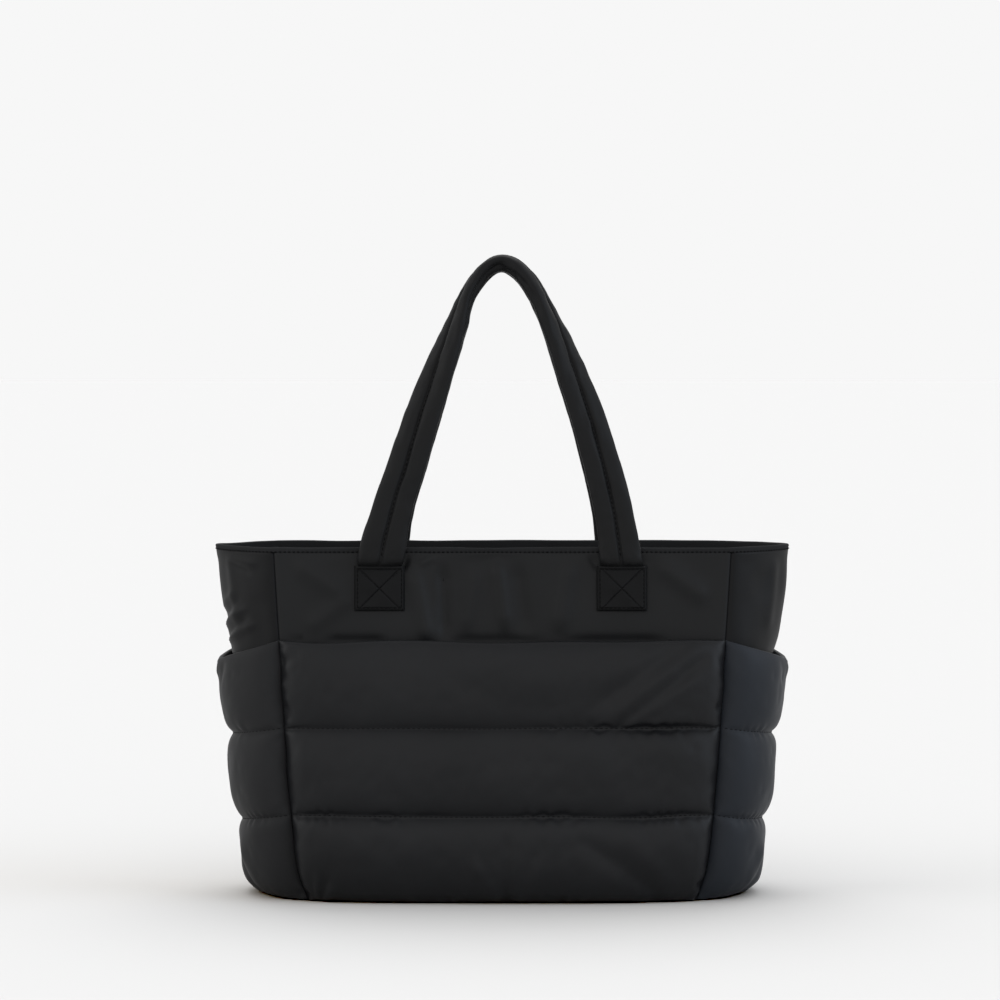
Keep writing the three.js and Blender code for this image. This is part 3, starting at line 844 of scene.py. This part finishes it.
def front_pocket():
    s = bunched_columns(FRONT_COLUMNS, FRONT_BUNCHING) * (1 - POCKET_GAP / HALF_RIM)
    share = quilt_rows(POCKET_ROWS)
    s, rows = s[None, :], share[:, None]
    x = s * FRONT_RUN
    seam_gap = (1 - np.abs(s)) * FRONT_RUN
    gapes = sum(part * bump(x, middle, width) for middle, width, part in GAPES)
    slack = FRONT_SLACK * column(STAND_OFF, 1, rows) * (1 - s**6)
    slack = slack + GAPE * gapes * near_mouth(rows, GAPE_BAND)
    puff = FRONT_PUFF * fullness(rows, True) * (1 - s**26)
    lip = lip_of((STITCHED_THICKNESS + puff)[-1])
    z = QUILT_FOOT + rows * QUILT_RISE - lip * near_mouth(rows, 1 / CHANNELS)
    z = z + ripples(MOUTH_SEED, x, z, FRONT_SWAY) * off_seams(s, FRONT_FADE) * smooth(rows / FOOT_FADE)
    z = z - GAPE_DROP * gapes * near_mouth(rows, GAPE_DROP_BAND)
    stand = CLEARANCE + slack
    inner = wall_point(-1, s, z, stand)
    creased = folds(FRONT_POCKET_FOLDS, x, z) + ripples(CREASE_SEED, x, z, FRONT_RIPPLES)
    creased = creased * smooth(puff / FRONT_CREASED)
    outer = wall_point(-1, s, z, stand + STITCHED_THICKNESS + puff + creased - sunk_seam(seam_gap))
    outer[..., 0] += np.sign(s) * seam_strays(np.sign(s), z) * np.exp(-seam_gap / STRAY_REACH)
    outward = np.array([0, -1.0, 0])

    def keep_off(points):
        """Keeps the face between its seams, off the pocket's inside and off the floor."""
        height = np.clip(points[..., 2], 0, BODY_HEIGHT)
        limit = section(height)[0] - POCKET_GAP + seam_strays(np.sign(s), height)
        points[..., 0] = np.clip(points[..., 0], -limit, limit)
        points[..., 1] = np.minimum(points[..., 1], inner[..., 1] - LEAST_THICKNESS)
        points[..., 2] = np.maximum(points[..., 2], LOWEST)
        return points

    outer = sew_quilt(outer, share, seam_gap[0], outward, FRONT_QUILT_SEED, FRONT_PUCKER, keep_off)
    add_pocket("front_pocket", outer, inner, lip, outward, quilted)


# Columns as in the front pocket's folds, across from the middle of the side wall towards its back seam
SIDE_POCKET_FOLDS = [
    (-20, 190, -8, 172, 3, 2.2),
    (-14, 190, 0, 176, 2.6, -2.0),
    (-30, 186, -22, 168, 4, -1.4),
    (14, 190, 6, 170, 4, 1.8),
    (-52, 150, -20, 128, 8, 1.2),
    (-40, 100, -12, 74, 7, 1.2),
    (-56, 60, -26, 30, 8, 1.4),
    (-44, 4, -30, 40, 5, 2.1),
    (-34, 2, -16, 28, 4, -2.1),
    (20, 4, 30, 40, 5, 1.8),
]
SIDE_SWAY = [(0.0007, 0.05)]
SIDE_RIPPLES = [(0.001, 0.03)]
SIDE_PUCKER = 0.045
SIDE_CREASED = 0.003


def side_pocket(side, seed):
    t = bunched_columns(SIDE_COLUMNS, SIDE_BUNCHING) * (1 - POCKET_GAP / HALF_DEPTH)
    share = quilt_rows(POCKET_ROWS)
    t, rows = t[None, :], share[:, None]
    run = t * SIDE_RUN
    seam_gap = (1 - np.abs(t)) * SIDE_RUN
    slack = SIDE_SLACK * column(STAND_OFF, 2, rows) * (1 - np.abs(t) ** 2.5)
    puff = SIDE_PUFF * fullness(rows, True) * (1 - t**10)
    lip = lip_of((STITCHED_THICKNESS + puff)[-1])
    dip = SIDE_LINE_DIP * column(LINE_DROP, 1, rows) + SIDE_MOUTH_DIP * column(LINE_DROP, 2, rows)
    z = QUILT_FOOT + rows * QUILT_RISE - dip * (1 - np.abs(t) ** 1.5)
    z = z - lip * near_mouth(rows, 1 / CHANNELS)
    z = z + ripples(seed, run, z, SIDE_SWAY) * off_seams(t, SIDE_FADE) * smooth(rows / FOOT_FADE)
    stand = CLEARANCE + slack
    inner = gusset_point(side, t, z, stand)
    puff = puff * (1 - TUCK * np.exp(-z / TUCK_HEIGHT) * smooth((np.abs(t) - TUCK_START) / FOOT_SHARE))
    creased = folds(SIDE_POCKET_FOLDS, run, z) + ripples(seed + 5, run, z, SIDE_RIPPLES)
    creased = creased * smooth(puff / SIDE_CREASED)
    foot = SIDE_FOOT * np.exp(-z / FOOT_HEIGHT) * (1 - smooth(np.abs(t) / FOOT_SHARE))
    thickness = STITCHED_THICKNESS + puff + creased + foot - sunk_seam(seam_gap)
    outer = gusset_point(side, t, z, stand + thickness)
    outward = unit(outer - inner)
    front = t < 0
    outer[..., 0] += side * seam_strays(side, z) * np.exp(-seam_gap / STRAY_REACH) * front

    def keep_off(points):
        height = np.clip(points[..., 2], 0, BODY_HEIGHT)
        limit = section(height)[0] + POCKET_GAP + seam_strays(side, height) * front
        points[..., 0] = side * np.maximum(side * points[..., 0], limit)
        inside = ((points - inner) * outward).sum(-1, keepdims=True)
        points += outward * np.maximum(LEAST_THICKNESS - inside, 0)
        points[..., 2] = np.maximum(points[..., 2], LOWEST)
        return points

    outer = sew_quilt(outer, share, seam_gap[0], outward, seed, SIDE_PUCKER, keep_off)
    # Painted light: each side pocket takes its own lighter copy of the quilted nylon, the right one
    # tinted blue by painted light
    cloth = left_quilted_lit_copy if side < 0 else right_quilted_blue_lit_copy
    add_pocket(f"{NAMES[side]}_pocket", outer, inner, lip, outward, cloth)


BACK_RIPPLES = [(0.0016, 0.075)]
BACK_PUCKER = 0.07
BACK_DIP = 0.6
PLAIN_ROWS = 32
PLAIN_START = 0.02  # over how much of its height the plain part's relief grows
PLAIN_END = 0.012


def back_wall():
    s = bunched_columns(BACK_COLUMNS, FRONT_BUNCHING)[None, :] * SEAM_END
    share = quilt_rows(BACK_ROWS)
    quilt_z = np.maximum(QUILT_FOOT + share * QUILT_RISE, WALL_BOTTOM)
    first = np.searchsorted(quilt_z, WALL_BOTTOM + TINY) - 1
    quilt_z, share = quilt_z[first:], share[first:]
    full = len(share)
    z = np.concatenate([quilt_z, np.linspace(QUILT_TOP, WALL_TOP, PLAIN_ROWS)[1:]])[:, None]
    x = s * FRONT_RUN
    seam_gap = (1 - np.abs(s)) * FRONT_RUN
    puff = np.zeros((len(z), s.shape[1]))
    puff[:full] = BACK_PUFF * fullness(share[:, None], False) * (1 - s**12)
    above = smooth((z - QUILT_TOP) / PLAIN_START) * smooth((WALL_TOP - z) / PLAIN_END)
    waves = ripples(BACK_WALL_SEED, x, z, BACK_RIPPLES) * above * off_seams(s, FRONT_FADE)
    inner = wall_point(1, s, z, -WALL)
    outer = wall_point(1, s, z, puff + waves + BACK_DIP * edge_dip(seam_gap))
    outward = np.array([0, 1.0, 0])

    def keep_off(points):
        limit = section(points[..., 2])[0] * SEAM_END
        points[..., 0] = np.clip(points[..., 0], -limit, limit)
        points[..., 1] = np.maximum(points[..., 1], inner[:full, :, 1] + LEAST_THICKNESS)
        return points

    quilt = sew_quilt(outer[:full], share, seam_gap[0], outward, BACK_QUILT_SEED, BACK_PUCKER, keep_off)
    outer = np.concatenate([quilt, outer[full:]])
    lines = np.searchsorted(share, np.array([1, 2]) / CHANNELS - TINY)
    piece = shell("back_wall_quilt", sandwich(outer, inner, 0), quilted, ["back_wall"])
    stitch_lines("back_wall", quilt, outward, lines)


# Plain walls


EDGE_DIP = 0.0012
EDGE_DIP_WIDTH = 0.0013


def edge_dip(gap):
    """How a sewn edge turns in, gap metres from its seam."""
    return -EDGE_DIP * bump(gap, 0, EDGE_DIP_WIDTH)


INNER_SHARE = 0.5  # how much of a wall's outer relief shows inside
WALL_HOLD = 0.007  # how far below the hem the relief is full
GUSSET_HOLD = 0.01
WALL_RIPPLES = [(0.0011, 0.06)]
FINE_WALL_RIPPLES = [(0.0006, 0.03)]


def plain_wall(name, make_point, place, half_run, waves, cloth):
    """A wall of one sheet, with its relief, that turns in where it is sewn along its sides."""
    outer = make_point(*place, waves + edge_dip((1 - np.abs(place[1])) * half_run))
    inner = make_point(*place, -WALL + INNER_SHARE * waves)
    piece = shell(f"{name}_cloth", sandwich(outer, inner, 0), cloth, [name])


# Columns as in the front pocket's folds
FRONT_WALL_FOLDS = [
    (-68, 256, -58, 205, 6, 3.4),
    (-46, 258, -44, 208, 4.5, -3.4),
    (-22, 256, -28, 214, 6, 2.0),
    (-4, 262, 2, 215, 5, 3.4),
    (12, 258, 18, 212, 6, -2.5),
    (52, 262, 44, 214, 7, 3.2),
    (-70, 279, -77, 258, 2.6, -2.4),
    (-58, 271, -72, 268, 3, -1.0),
    (-52, 269, -64, 262, 3, 1.4),
    (66, 273, 74, 258, 2.6, -1.6),
    (-134, 203, -92, 203, 4.5, -1.7),
    (-166, 204, -154, 203, 4, -1.5),
    (54, 203, 122, 203, 4.5, -1.5),
    (-36, 203, 26, 203, 4.5, -1.4),
    (122, 262, 158, 236, 8, 3.1),
    (-124, 240, -160, 262, 8, 2.5),
    (-150, 214, -118, 236, 7, 2.0),
]


def front_wall():
    s = bunched_columns(WALL_COLUMNS, FRONT_BUNCHING)[None, :] * SEAM_END
    z = np.linspace(WALL_BOTTOM, WALL_TOP, WALL_ROWS)[:, None]
    x = s * section(z)[0]
    held = off_seams(s, WALL_FADE) * smooth((WALL_TOP - z) / WALL_HOLD)
    waves = ripples(WALL_SEED, x, z / 2, WALL_RIPPLES) + ripples(WALL_SEED + 1, x, z, FINE_WALL_RIPPLES)
    waves = (waves + folds(FRONT_WALL_FOLDS, x, z)) * held
    plain_wall("front_wall", wall_point, (-1, s, z), FRONT_RUN, waves, plain)


# Columns as above, across from the middle of the side wall towards its back seam
GUSSET_FOLDS = [
    (-56, 214, -10, 198, 2.4, 1.5),
    (-50, 220, -12, 204, 2.2, -1.4),
    (-48, 226, -4, 210, 2.4, 1.5),
    (-40, 232, -8, 217, 2.4, -1.2),
    (-34, 238, -4, 224, 3, 1.0),
    (-62, 262, -28, 266, 3, 1.3),
    (-56, 255, -30, 262, 2.5, -0.9),
    (0, 226, 0, 194, 16, -3.0),
    (-30, 264, -36, 212, 7, 1.2),
    (8, 264, 2, 210, 8, -1.3),
    (40, 262, 34, 206, 7, 1.2),
]
# The right side wall's folds are the same, without the sharpest and the broadest
CALM_FOLDS = [row for row in GUSSET_FOLDS if 3 < row[4] < 10]
GUSSET_RIPPLES = [(0.0012, 0.045), (0.0006, 0.02)]


def gusset(side, seed):
    t = np.linspace(-1, 1, SIDE_COLUMNS)[None, :] * SEAM_END
    z = np.linspace(WALL_BOTTOM, WALL_TOP, GUSSET_ROWS)[:, None]
    run = t * SIDE_RUN
    held = off_seams(t, SIDE_FADE) * smooth((WALL_TOP - z) / GUSSET_HOLD)
    creased = folds(GUSSET_FOLDS if side < 0 else CALM_FOLDS, run, z)
    waves = (ripples(seed, run, z, GUSSET_RIPPLES) + creased) * held
    name = f"{NAMES[side]}_gusset"
    # Painted shade: the side walls' cloth is a darker copy of the plain nylon
    plain_wall(name, gusset_point, (side, t, z), SIDE_RUN, waves, side_cloth_shaded_copy)


def around(on_wall, on_side):
    """Spots once round the body, front wall first: the function that makes each one's point, its side,
    and its place between the seams."""
    walls = np.linspace(-1, 1, on_wall + 1)[:-1]
    sides = np.linspace(-1, 1, on_side + 1)[:-1]
    spots = [(wall_point, -1, s) for s in walls] + [(gusset_point, 1, t) for t in sides]
    return spots + [(wall_point, 1, -s) for s in walls] + [(gusset_point, -1, -t) for t in sides]


def ring_at(spots, z, offset):
    """The points round the body at one height and offset; both may differ from spot to spot."""
    z, offset = np.broadcast_to(z, len(spots)), np.broadcast_to(offset, len(spots))
    points = np.zeros((len(spots), 3))
    for make, way in {(spot[0], spot[1]) for spot in spots}:
        chosen = [k for k, spot in enumerate(spots) if spot[:2] == (make, way)]
        along = np.array([spots[k][2] for k in chosen])
        points[chosen] = make(way, along, z[chosen], offset[chosen])
    return points


HEM_SPOTS = (220, 110)  # along a wall and along a side wall
HEM_STEP = 0.0016  # about how far apart they are
HEM_SWAY = [(0.00045, 0.035)]
HEM_SWELL = [(0.00012, 0.006)]


def rim_hem():
    spots = around(*HEM_SPOTS)
    way = np.arange(len(spots)) * HEM_STEP
    lift = ripples(HEM_SEED, way, 0 * way, HEM_SWAY)
    swell = ripples(HEM_SEED + 1, way, 0 * way, HEM_SWELL)
    inside = -WALL - CLEARANCE
    facing = inside - FACING_THICKNESS
    hem_foot = BODY_HEIGHT - HEM_HEIGHT
    # Columns: offset, height, share of the lift, share of the swell
    profile = [
        (inside, hem_foot, 0, 0),
        (-0.0001, hem_foot, 0, 0),
        (0.0, hem_foot + 0.0001, 0, 0),
        (0.0001, hem_foot + 0.0007, 0, 1),
        (-0.0001, hem_foot + 0.0012, 0.2, 1),
        (0.0002, hem_foot + 0.0018, 0.4, 1),
        (0.0002, hem_foot + 0.0026, 0.8, 1),
        (-0.0001, BODY_HEIGHT - 0.0005, 1, 1),
        (-0.0006, BODY_HEIGHT - 0.0001, 1, 0),
        (-0.0015, BODY_HEIGHT, 1, 0),
        (inside + 0.0006, BODY_HEIGHT - 0.0001, 1, 0),
        (facing + 0.0003, BODY_HEIGHT - 0.0005, 1, 0),
        (facing, BODY_HEIGHT - 0.0014, 1, 0),
        (facing, BODY_HEIGHT - 0.01, 0.4, 0),
        (facing, BODY_HEIGHT - FACING_HEIGHT + 0.0006, 0, 0),
        (facing + 0.0004, BODY_HEIGHT - FACING_HEIGHT, 0, 0),
        (inside, BODY_HEIGHT - FACING_HEIGHT, 0, 0),
    ]
    rows = [ring_at(spots, z + lift * up, offset + swell * out) for offset, z, up, out in profile]
    rings = np.stack(rows, 1)
    piece = shell("rim_hem_cloth", rings, hem_cloth, ["rim_hem"], closed=True)
    line = ring_at(spots, hem_foot + 0.0002, 0.0001)
    outward = line - ring_at(spots, hem_foot + 0.0002, -0.001)
    stitches("rim_hem_stitches", line, outward, HEM_STITCH, closed=True)


# Handles


ARM_POINTS = 400
ARM_STATIONS = 120
FLAT_STATIONS = 16
STATION_POWER = 1.12  # makes the stations closer together at the foot
CLIMB_POWER = 1.3


def arm_curve():
    """Half the handle's arch in its own plane, from the patch's top edge to the middle of the top."""
    top = HANDLE_TOP - STRAP_THICKNESS / 2
    rise = ARCH_FOOT * (top - PATCH_TOP)
    handles = np.array([
        (-HALF_SPACING, PATCH_TOP),
        (-HALF_SPACING + rise * math.sin(STRAP_LEAN), PATCH_TOP + rise * math.cos(STRAP_LEAN)),
        (-ARCH_TOP * HALF_SPACING, top),
        (0, top),
    ])
    line = cubic(handles, np.linspace(0, 1, ARM_POINTS)[:, None])
    return line, run_along(line)


def arm_stations():
    """One arm's centre line, width, thickness and turn, from the strap's sewn end to the top."""
    line, run = arm_curve()
    flat = np.linspace(PATCH_BOTTOM + END_INSET, PATCH_TOP, FLAT_STATIONS)[:-1]
    past = run[-1] * np.linspace(0, 1, ARM_STATIONS) ** STATION_POWER
    x = np.concatenate([np.full(len(flat), -HALF_SPACING), np.interp(past, run, line[:, 0])])
    z = np.concatenate([flat, np.interp(past, run, line[:, 1])])
    past = np.concatenate([flat - PATCH_TOP, past])
    share = np.clip(past / run[-1], 0, 1)
    padding = smooth((past - PADDING_START) / PADDING_LENGTH)
    end_width = PATCH_WIDTH - 2 * PATCH_BORDER - 2 * CLEARANCE
    width = end_width + (STRAP_WIDTH * column(STRAP_SECTIONS, 1, share) - end_width) * padding
    full = STRAP_THICKNESS * column(STRAP_SECTIONS, 2, share)
    thickness = END_THICKNESS + (full - END_THICKNESS) * padding
    low = np.minimum(z, BODY_HEIGHT)
    offset = CLEARANCE + thickness / 2 + 0.0005 * padding
    on_wall = wall_point(-1, x / section(low)[0], low, offset)[:, 1]
    climbed = np.clip((z - low) / (HANDLE_TOP - STRAP_THICKNESS / 2 - BODY_HEIGHT), 0, 1)
    top_width = STRAP_WIDTH * STRAP_SECTIONS[-1, 1]
    y = on_wall + (-(top_width + HANDLE_GAP) / 2 - on_wall) * climbed**CLIMB_POWER
    turn = column(STRAP_SECTIONS, 3, share) * math.pi / 2
    return np.stack([x, y, z], 1), width, thickness, turn, past


def strap_frames(centre, turn):
    """The directions across and out of the strap's face at each station."""
    tangent = unit(np.gradient(centre, axis=0))
    front = unit(tangent * tangent[:, 1:2] - np.array([0, 1.0, 0]))
    inward = np.cross(tangent, front)
    cos, sin = np.cos(turn)[:, None], np.sin(turn)[:, None]
    return inward * cos + front * sin, front * cos - inward * sin


DEEPEST = 0.006
SECTION_POINTS = 80  # round the strap; the first is on its outer edge
EDGE_CROWDING = 0.35  # how much closer together they are at the middle of its faces
SQUARENESS = (0.8, 0.75)  # powers below 1, across and out, make an oval section squarer
LEVEL_RUN = 0.03  # how far past its foot the strap turns square to its own way
# The seam along the middle of a face: depths as shares of half a thickness, widths of half a width
GROOVE = 0.4
GROOVE_WIDTH = 0.1
SHOULDER = 0.16
SHOULDER_WIDTH = 0.28
INNER_GROOVE = 0.4  # how deep it is on the inner face, as a share
SEWN_IN = [(0.5, 0.009)]
STRAP_RIPPLES = [(0.00055, 0.013), (0.0003, 0.006)]
FOOT_RIPPLES = [(0.0006, 0.004)]
FOOT_REACH = 0.007
RIPPLE_RUN = 0.02  # how far it is from the middle of a face to its edge, for the ripples
FACES_APART = 0.4  # far enough that the two faces don't ripple alike
EDGE_CALM = 0.6  # how much of its unevenness the strap's outline is spared
UNSEWN_ENDS = 20  # stations without the seam at each end


def mirrored(arm):
    """One arm's values and then the other's, back from the top."""
    return np.concatenate([arm, arm[-2::-1]])


def strap_hollows(from_top, angle):
    """How deep the hollows are at each point of a strap, by its way past the middle of the top in
    millimetres and its place round the strap."""
    hollow = np.zeros(np.broadcast(from_top, angle).shape)
    for far, degrees, half_length, half_width, depth in STRAP_HOLLOWS:
        sides = smooth((from_top - far + 1.5 * half_length) / half_length)
        sides = sides * smooth((far + 1.5 * half_length - from_top) / half_length)
        hollow += depth * MM * sides * bump(np.degrees(angle), degrees, half_width)
    return hollow


def handle(facing, seed):
    centre, width, thickness, turn, past = arm_stations()
    centre = np.concatenate([centre, centre[-2::-1] * (-1, 1, 1)])
    width, thickness, turn, past = (mirrored(arm) for arm in (width, thickness, turn, past))
    padded = smooth((past - PADDING_START) / PADDING_LENGTH)
    left = centre[:, 0] < 0
    height = centre[:, 2] / MM
    centre[:, 0] += np.where(left, column(ARMS, 1, height), column(ARMS, 2, height)) * MM
    width = width + np.where(left, column(ARMS, 3, height), 0) * MM * padded
    along = run_along(centre)
    across, out = strap_frames(centre, turn)
    level = np.sign(across[:, :1]) * np.array([1.0, 0, 0])
    across = level + (across - level) * smooth(past / LEVEL_RUN)[:, None]
    even = np.linspace(0, 2 * math.pi, SECTION_POINTS, endpoint=False)
    angle = even + EDGE_CROWDING * np.sin(2 * even)
    a = -np.sign(np.cos(angle)) * np.abs(np.cos(angle)) ** SQUARENESS[0]
    o = np.sign(np.sin(angle)) * np.abs(np.sin(angle)) ** SQUARENESS[1]
    along, padded = along[:, None], padded[:, None]
    sewn_in = 1 + ripples(seed + 2, along, 0, SEWN_IN)
    groove = GROOVE * bump(a, 0, GROOVE_WIDTH) + SHOULDER * bump(a, 0, SHOULDER_WIDTH) * sewn_in
    dome = o * (1 - groove * np.where(o > 0, 1, INNER_GROOVE) * padded)
    place = a * RIPPLE_RUN + np.where(o > 0, 0, FACES_APART)
    at_foot = np.exp(-np.maximum(past, 0) / FOOT_REACH)[:, None]
    uneven = ripples(seed, along, place, STRAP_RIPPLES)
    uneven = (uneven + ripples(seed + 3, along, place, FOOT_RIPPLES) * at_foot) * padded
    from_top = (along - along[len(along) // 2]) / MM
    relief = np.maximum(uneven - strap_hollows(from_top, angle), -DEEPEST)
    reach = width[:, None] / 2 + relief - EDGE_CALM * uneven
    rise = thickness[:, None] / 2 + relief
    rings = centre[:, None] + across[:, None] * (a * reach)[..., None]
    rings = rings + out[:, None] * (dome * rise)[..., None]
    rings[..., 1] *= -facing
    name = f"{FACES[facing]}_handle"
    piece = shell(f"{name}_strap", rings, strap, [name])
    sewn = slice(UNSEWN_ENDS, -UNSEWN_ENDS)
    middle = rings[sewn, SECTION_POINTS // 4]
    outward = middle - rings[sewn, 3 * SECTION_POINTS // 4]
    stitches(f"{name}_stitches", middle, outward, STRAP_STITCH)


PATCH_POINTS = (66, 60)  # across and up
SEAM_INSET = 0.0024
SEAM_WIDTH = 0.0005
SEAM_DEPTH = 0.0013
PATCH_RIPPLES = [(0.0007, 0.009)]
EDGE_ROUND = 0.0005
SEAM_SEAT = 0.0006  # how deep the stitches lie below the patch's face

# Each seam of a patch runs straight between two of these, as shares of the way across and up
PATCH_SEAMS = [
    ((0, 0), (1, 0)),
    ((1, 0), (1, 1)),
    ((1, 1), (0, 1)),
    ((0, 1), (0, 0)),
    ((0, 0), (1, 1)),
    ((0, 1), (1, 0)),
]


def patch(facing, side, seed):
    u = np.linspace(0, 1, PATCH_POINTS[0])[None, :]
    v = np.linspace(0, 1, PATCH_POINTS[1])[:, None]
    edge = PATCH_BORDER / PATCH_WIDTH
    rise = smooth(np.minimum(u, 1 - u) / edge) * smooth(v * PATCH_HEIGHT / PATCH_BORDER)
    middle = side * HALF_SPACING + (RIGHT_FOOT_SHIFT if side > 0 else 0)
    x = middle + (u - 0.5) * PATCH_WIDTH
    z = PATCH_BOTTOM + v * PATCH_HEIGHT + 0 * x
    plateau = END_THICKNESS + 2 * CLEARANCE
    stand = CLEARANCE + (plateau - CLEARANCE) * rise
    gap = np.minimum(np.minimum(u, 1 - u) * PATCH_WIDTH, np.minimum(v, 1 - v) * PATCH_HEIGHT)
    inside = smooth((gap - SEAM_INSET) / MM)
    across, up = (u - 0.5) * PATCH_WIDTH, (v - 0.5) * PATCH_HEIGHT
    diagonal = np.minimum(np.abs(across - up), np.abs(across + up))
    lines = np.maximum(bump(gap, SEAM_INSET, SEAM_WIDTH), bump(diagonal, 0, SEAM_WIDTH) * inside)
    relief = ripples(seed, x, z, PATCH_RIPPLES) * inside - SEAM_DEPTH * lines
    relief = relief - EDGE_ROUND * np.exp(-gap / EDGE_ROUND)
    along = x / section(z)[0]
    outer = wall_point(facing, along, z, stand + PATCH_THICKNESS + relief)
    inner = wall_point(facing, along, z, stand)
    name = f"{FACES[facing]}_{NAMES[side]}_patch"
    piece = shell(f"{name}_cloth", sandwich(outer, inner, 0), patch_cloth, [name])
    share = np.linspace(0, 1, 40)[:, None]
    for n, corners in enumerate(PATCH_SEAMS):
        ends = np.array(corners) - 0.5
        ends = ends * (PATCH_WIDTH - 2 * SEAM_INSET, PATCH_HEIGHT - 2 * SEAM_INSET)
        flat = ends[0] + (ends[1] - ends[0]) * share
        seam_x, seam_z = middle + flat[:, 0], (PATCH_BOTTOM + PATCH_TOP) / 2 + flat[:, 1]
        place = seam_x / section(seam_z)[0]
        seat = wall_point(facing, place, seam_z, plateau + PATCH_THICKNESS - SEAM_SEAT)
        outward = np.broadcast_to([0.0, facing, 0.0], seat.shape)
        stitches(f"{name}_stitches_{n}", seat, outward, PATCH_STITCH)


# Stage

PAPER = 0.93  # how bright the floor and the backdrop are where no shadow falls
FLOOR_ALBEDO = 0.7
FLOOR_HALF = 40

# Columns: name, azimuth from the front towards the right, elevation, angular size, strength, colour
SUNS = [
    ("behind", 180, 60, 50, 1.1, (1, 1, 1)),
    ("left", -75, 22, 50, 0.8, (1, 1, 1)),
    ("right", 75, 22, 50, 1.1, (0.72, 0.84, 1)),
    ("front", 0, 15, 60, 0.42, (1, 0.98, 0.98)),
]


def sun(name, azimuth, elevation, size, strength, colour):
    light = bpy.data.lights.new(name, "SUN")
    light.angle = math.radians(size)
    light.energy = strength
    light.color = colour
    lamp = add_object(name, light)
    lamp.rotation_euler = (math.radians(90 - elevation), 0, math.radians(azimuth))


def stage():
    mesh = bpy.data.meshes.new("studio_floor")
    corners = [(x * FLOOR_HALF, y * FLOOR_HALF, 0) for x, y in ((-1, -1), (1, -1), (1, 1), (-1, 1))]
    mesh.from_pydata(corners, [], [(0, 1, 2, 3)])
    lit = sum(np.array(colour) * strength * math.sin(math.radians(height)) / math.pi
              for _, _, height, _, strength, colour in SUNS)
    glow = PAPER - FLOOR_ALBEDO * (PAPER + lit)
    material, _, _, shader = new_material("pale paper", Roughness=1.0, Specular_IOR_Level=0.0)
    set_inputs(shader, Base_Color=[FLOOR_ALBEDO] * 3 + [1])
    set_inputs(shader, Emission_Color=[*(glow / glow.max()), 1], Emission_Strength=glow.max())
    mesh.materials.append(material)
    floor = add_object("studio_floor", mesh)


def studio():
    world = bpy.data.worlds.new("studio")
    bpy.context.scene.world = world
    world.use_nodes = True
    set_inputs(world.node_tree.nodes["Background"], Color=(PAPER, PAPER, PAPER, 1), Strength=1.0)
    for row in SUNS:
        sun(*row)
    bpy.context.scene.view_settings.view_transform = "Standard"


EYE = (-0.0018, -3.2, 0.4361)
EYE_TILT = math.radians(2.265)


def camera():
    data = bpy.data.cameras.new("camera")
    data.lens = 146.25
    data.sensor_width = 36
    data.clip_end = 100
    eye = add_object("camera", data)
    eye.location = EYE
    eye.rotation_euler = (math.pi / 2 - EYE_TILT, 0, 0)
    bpy.context.scene.camera = eye


camera()
stage()
studio()
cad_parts["base_panel"].data.materials.clear()
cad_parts["base_panel"].data.materials.append(base_cloth)
front_wall()
back_wall()
rim_hem()
front_pocket()
for side, gusset_seed, pocket_seed, front_seed, back_seed in SIDES:
    gusset(side, gusset_seed)
    side_pocket(side, pocket_seed)
    patch(-1, side, front_seed)
    patch(1, side, back_seed)
handle(-1, HANDLE_SEEDS[0])
handle(1, HANDLE_SEEDS[1])

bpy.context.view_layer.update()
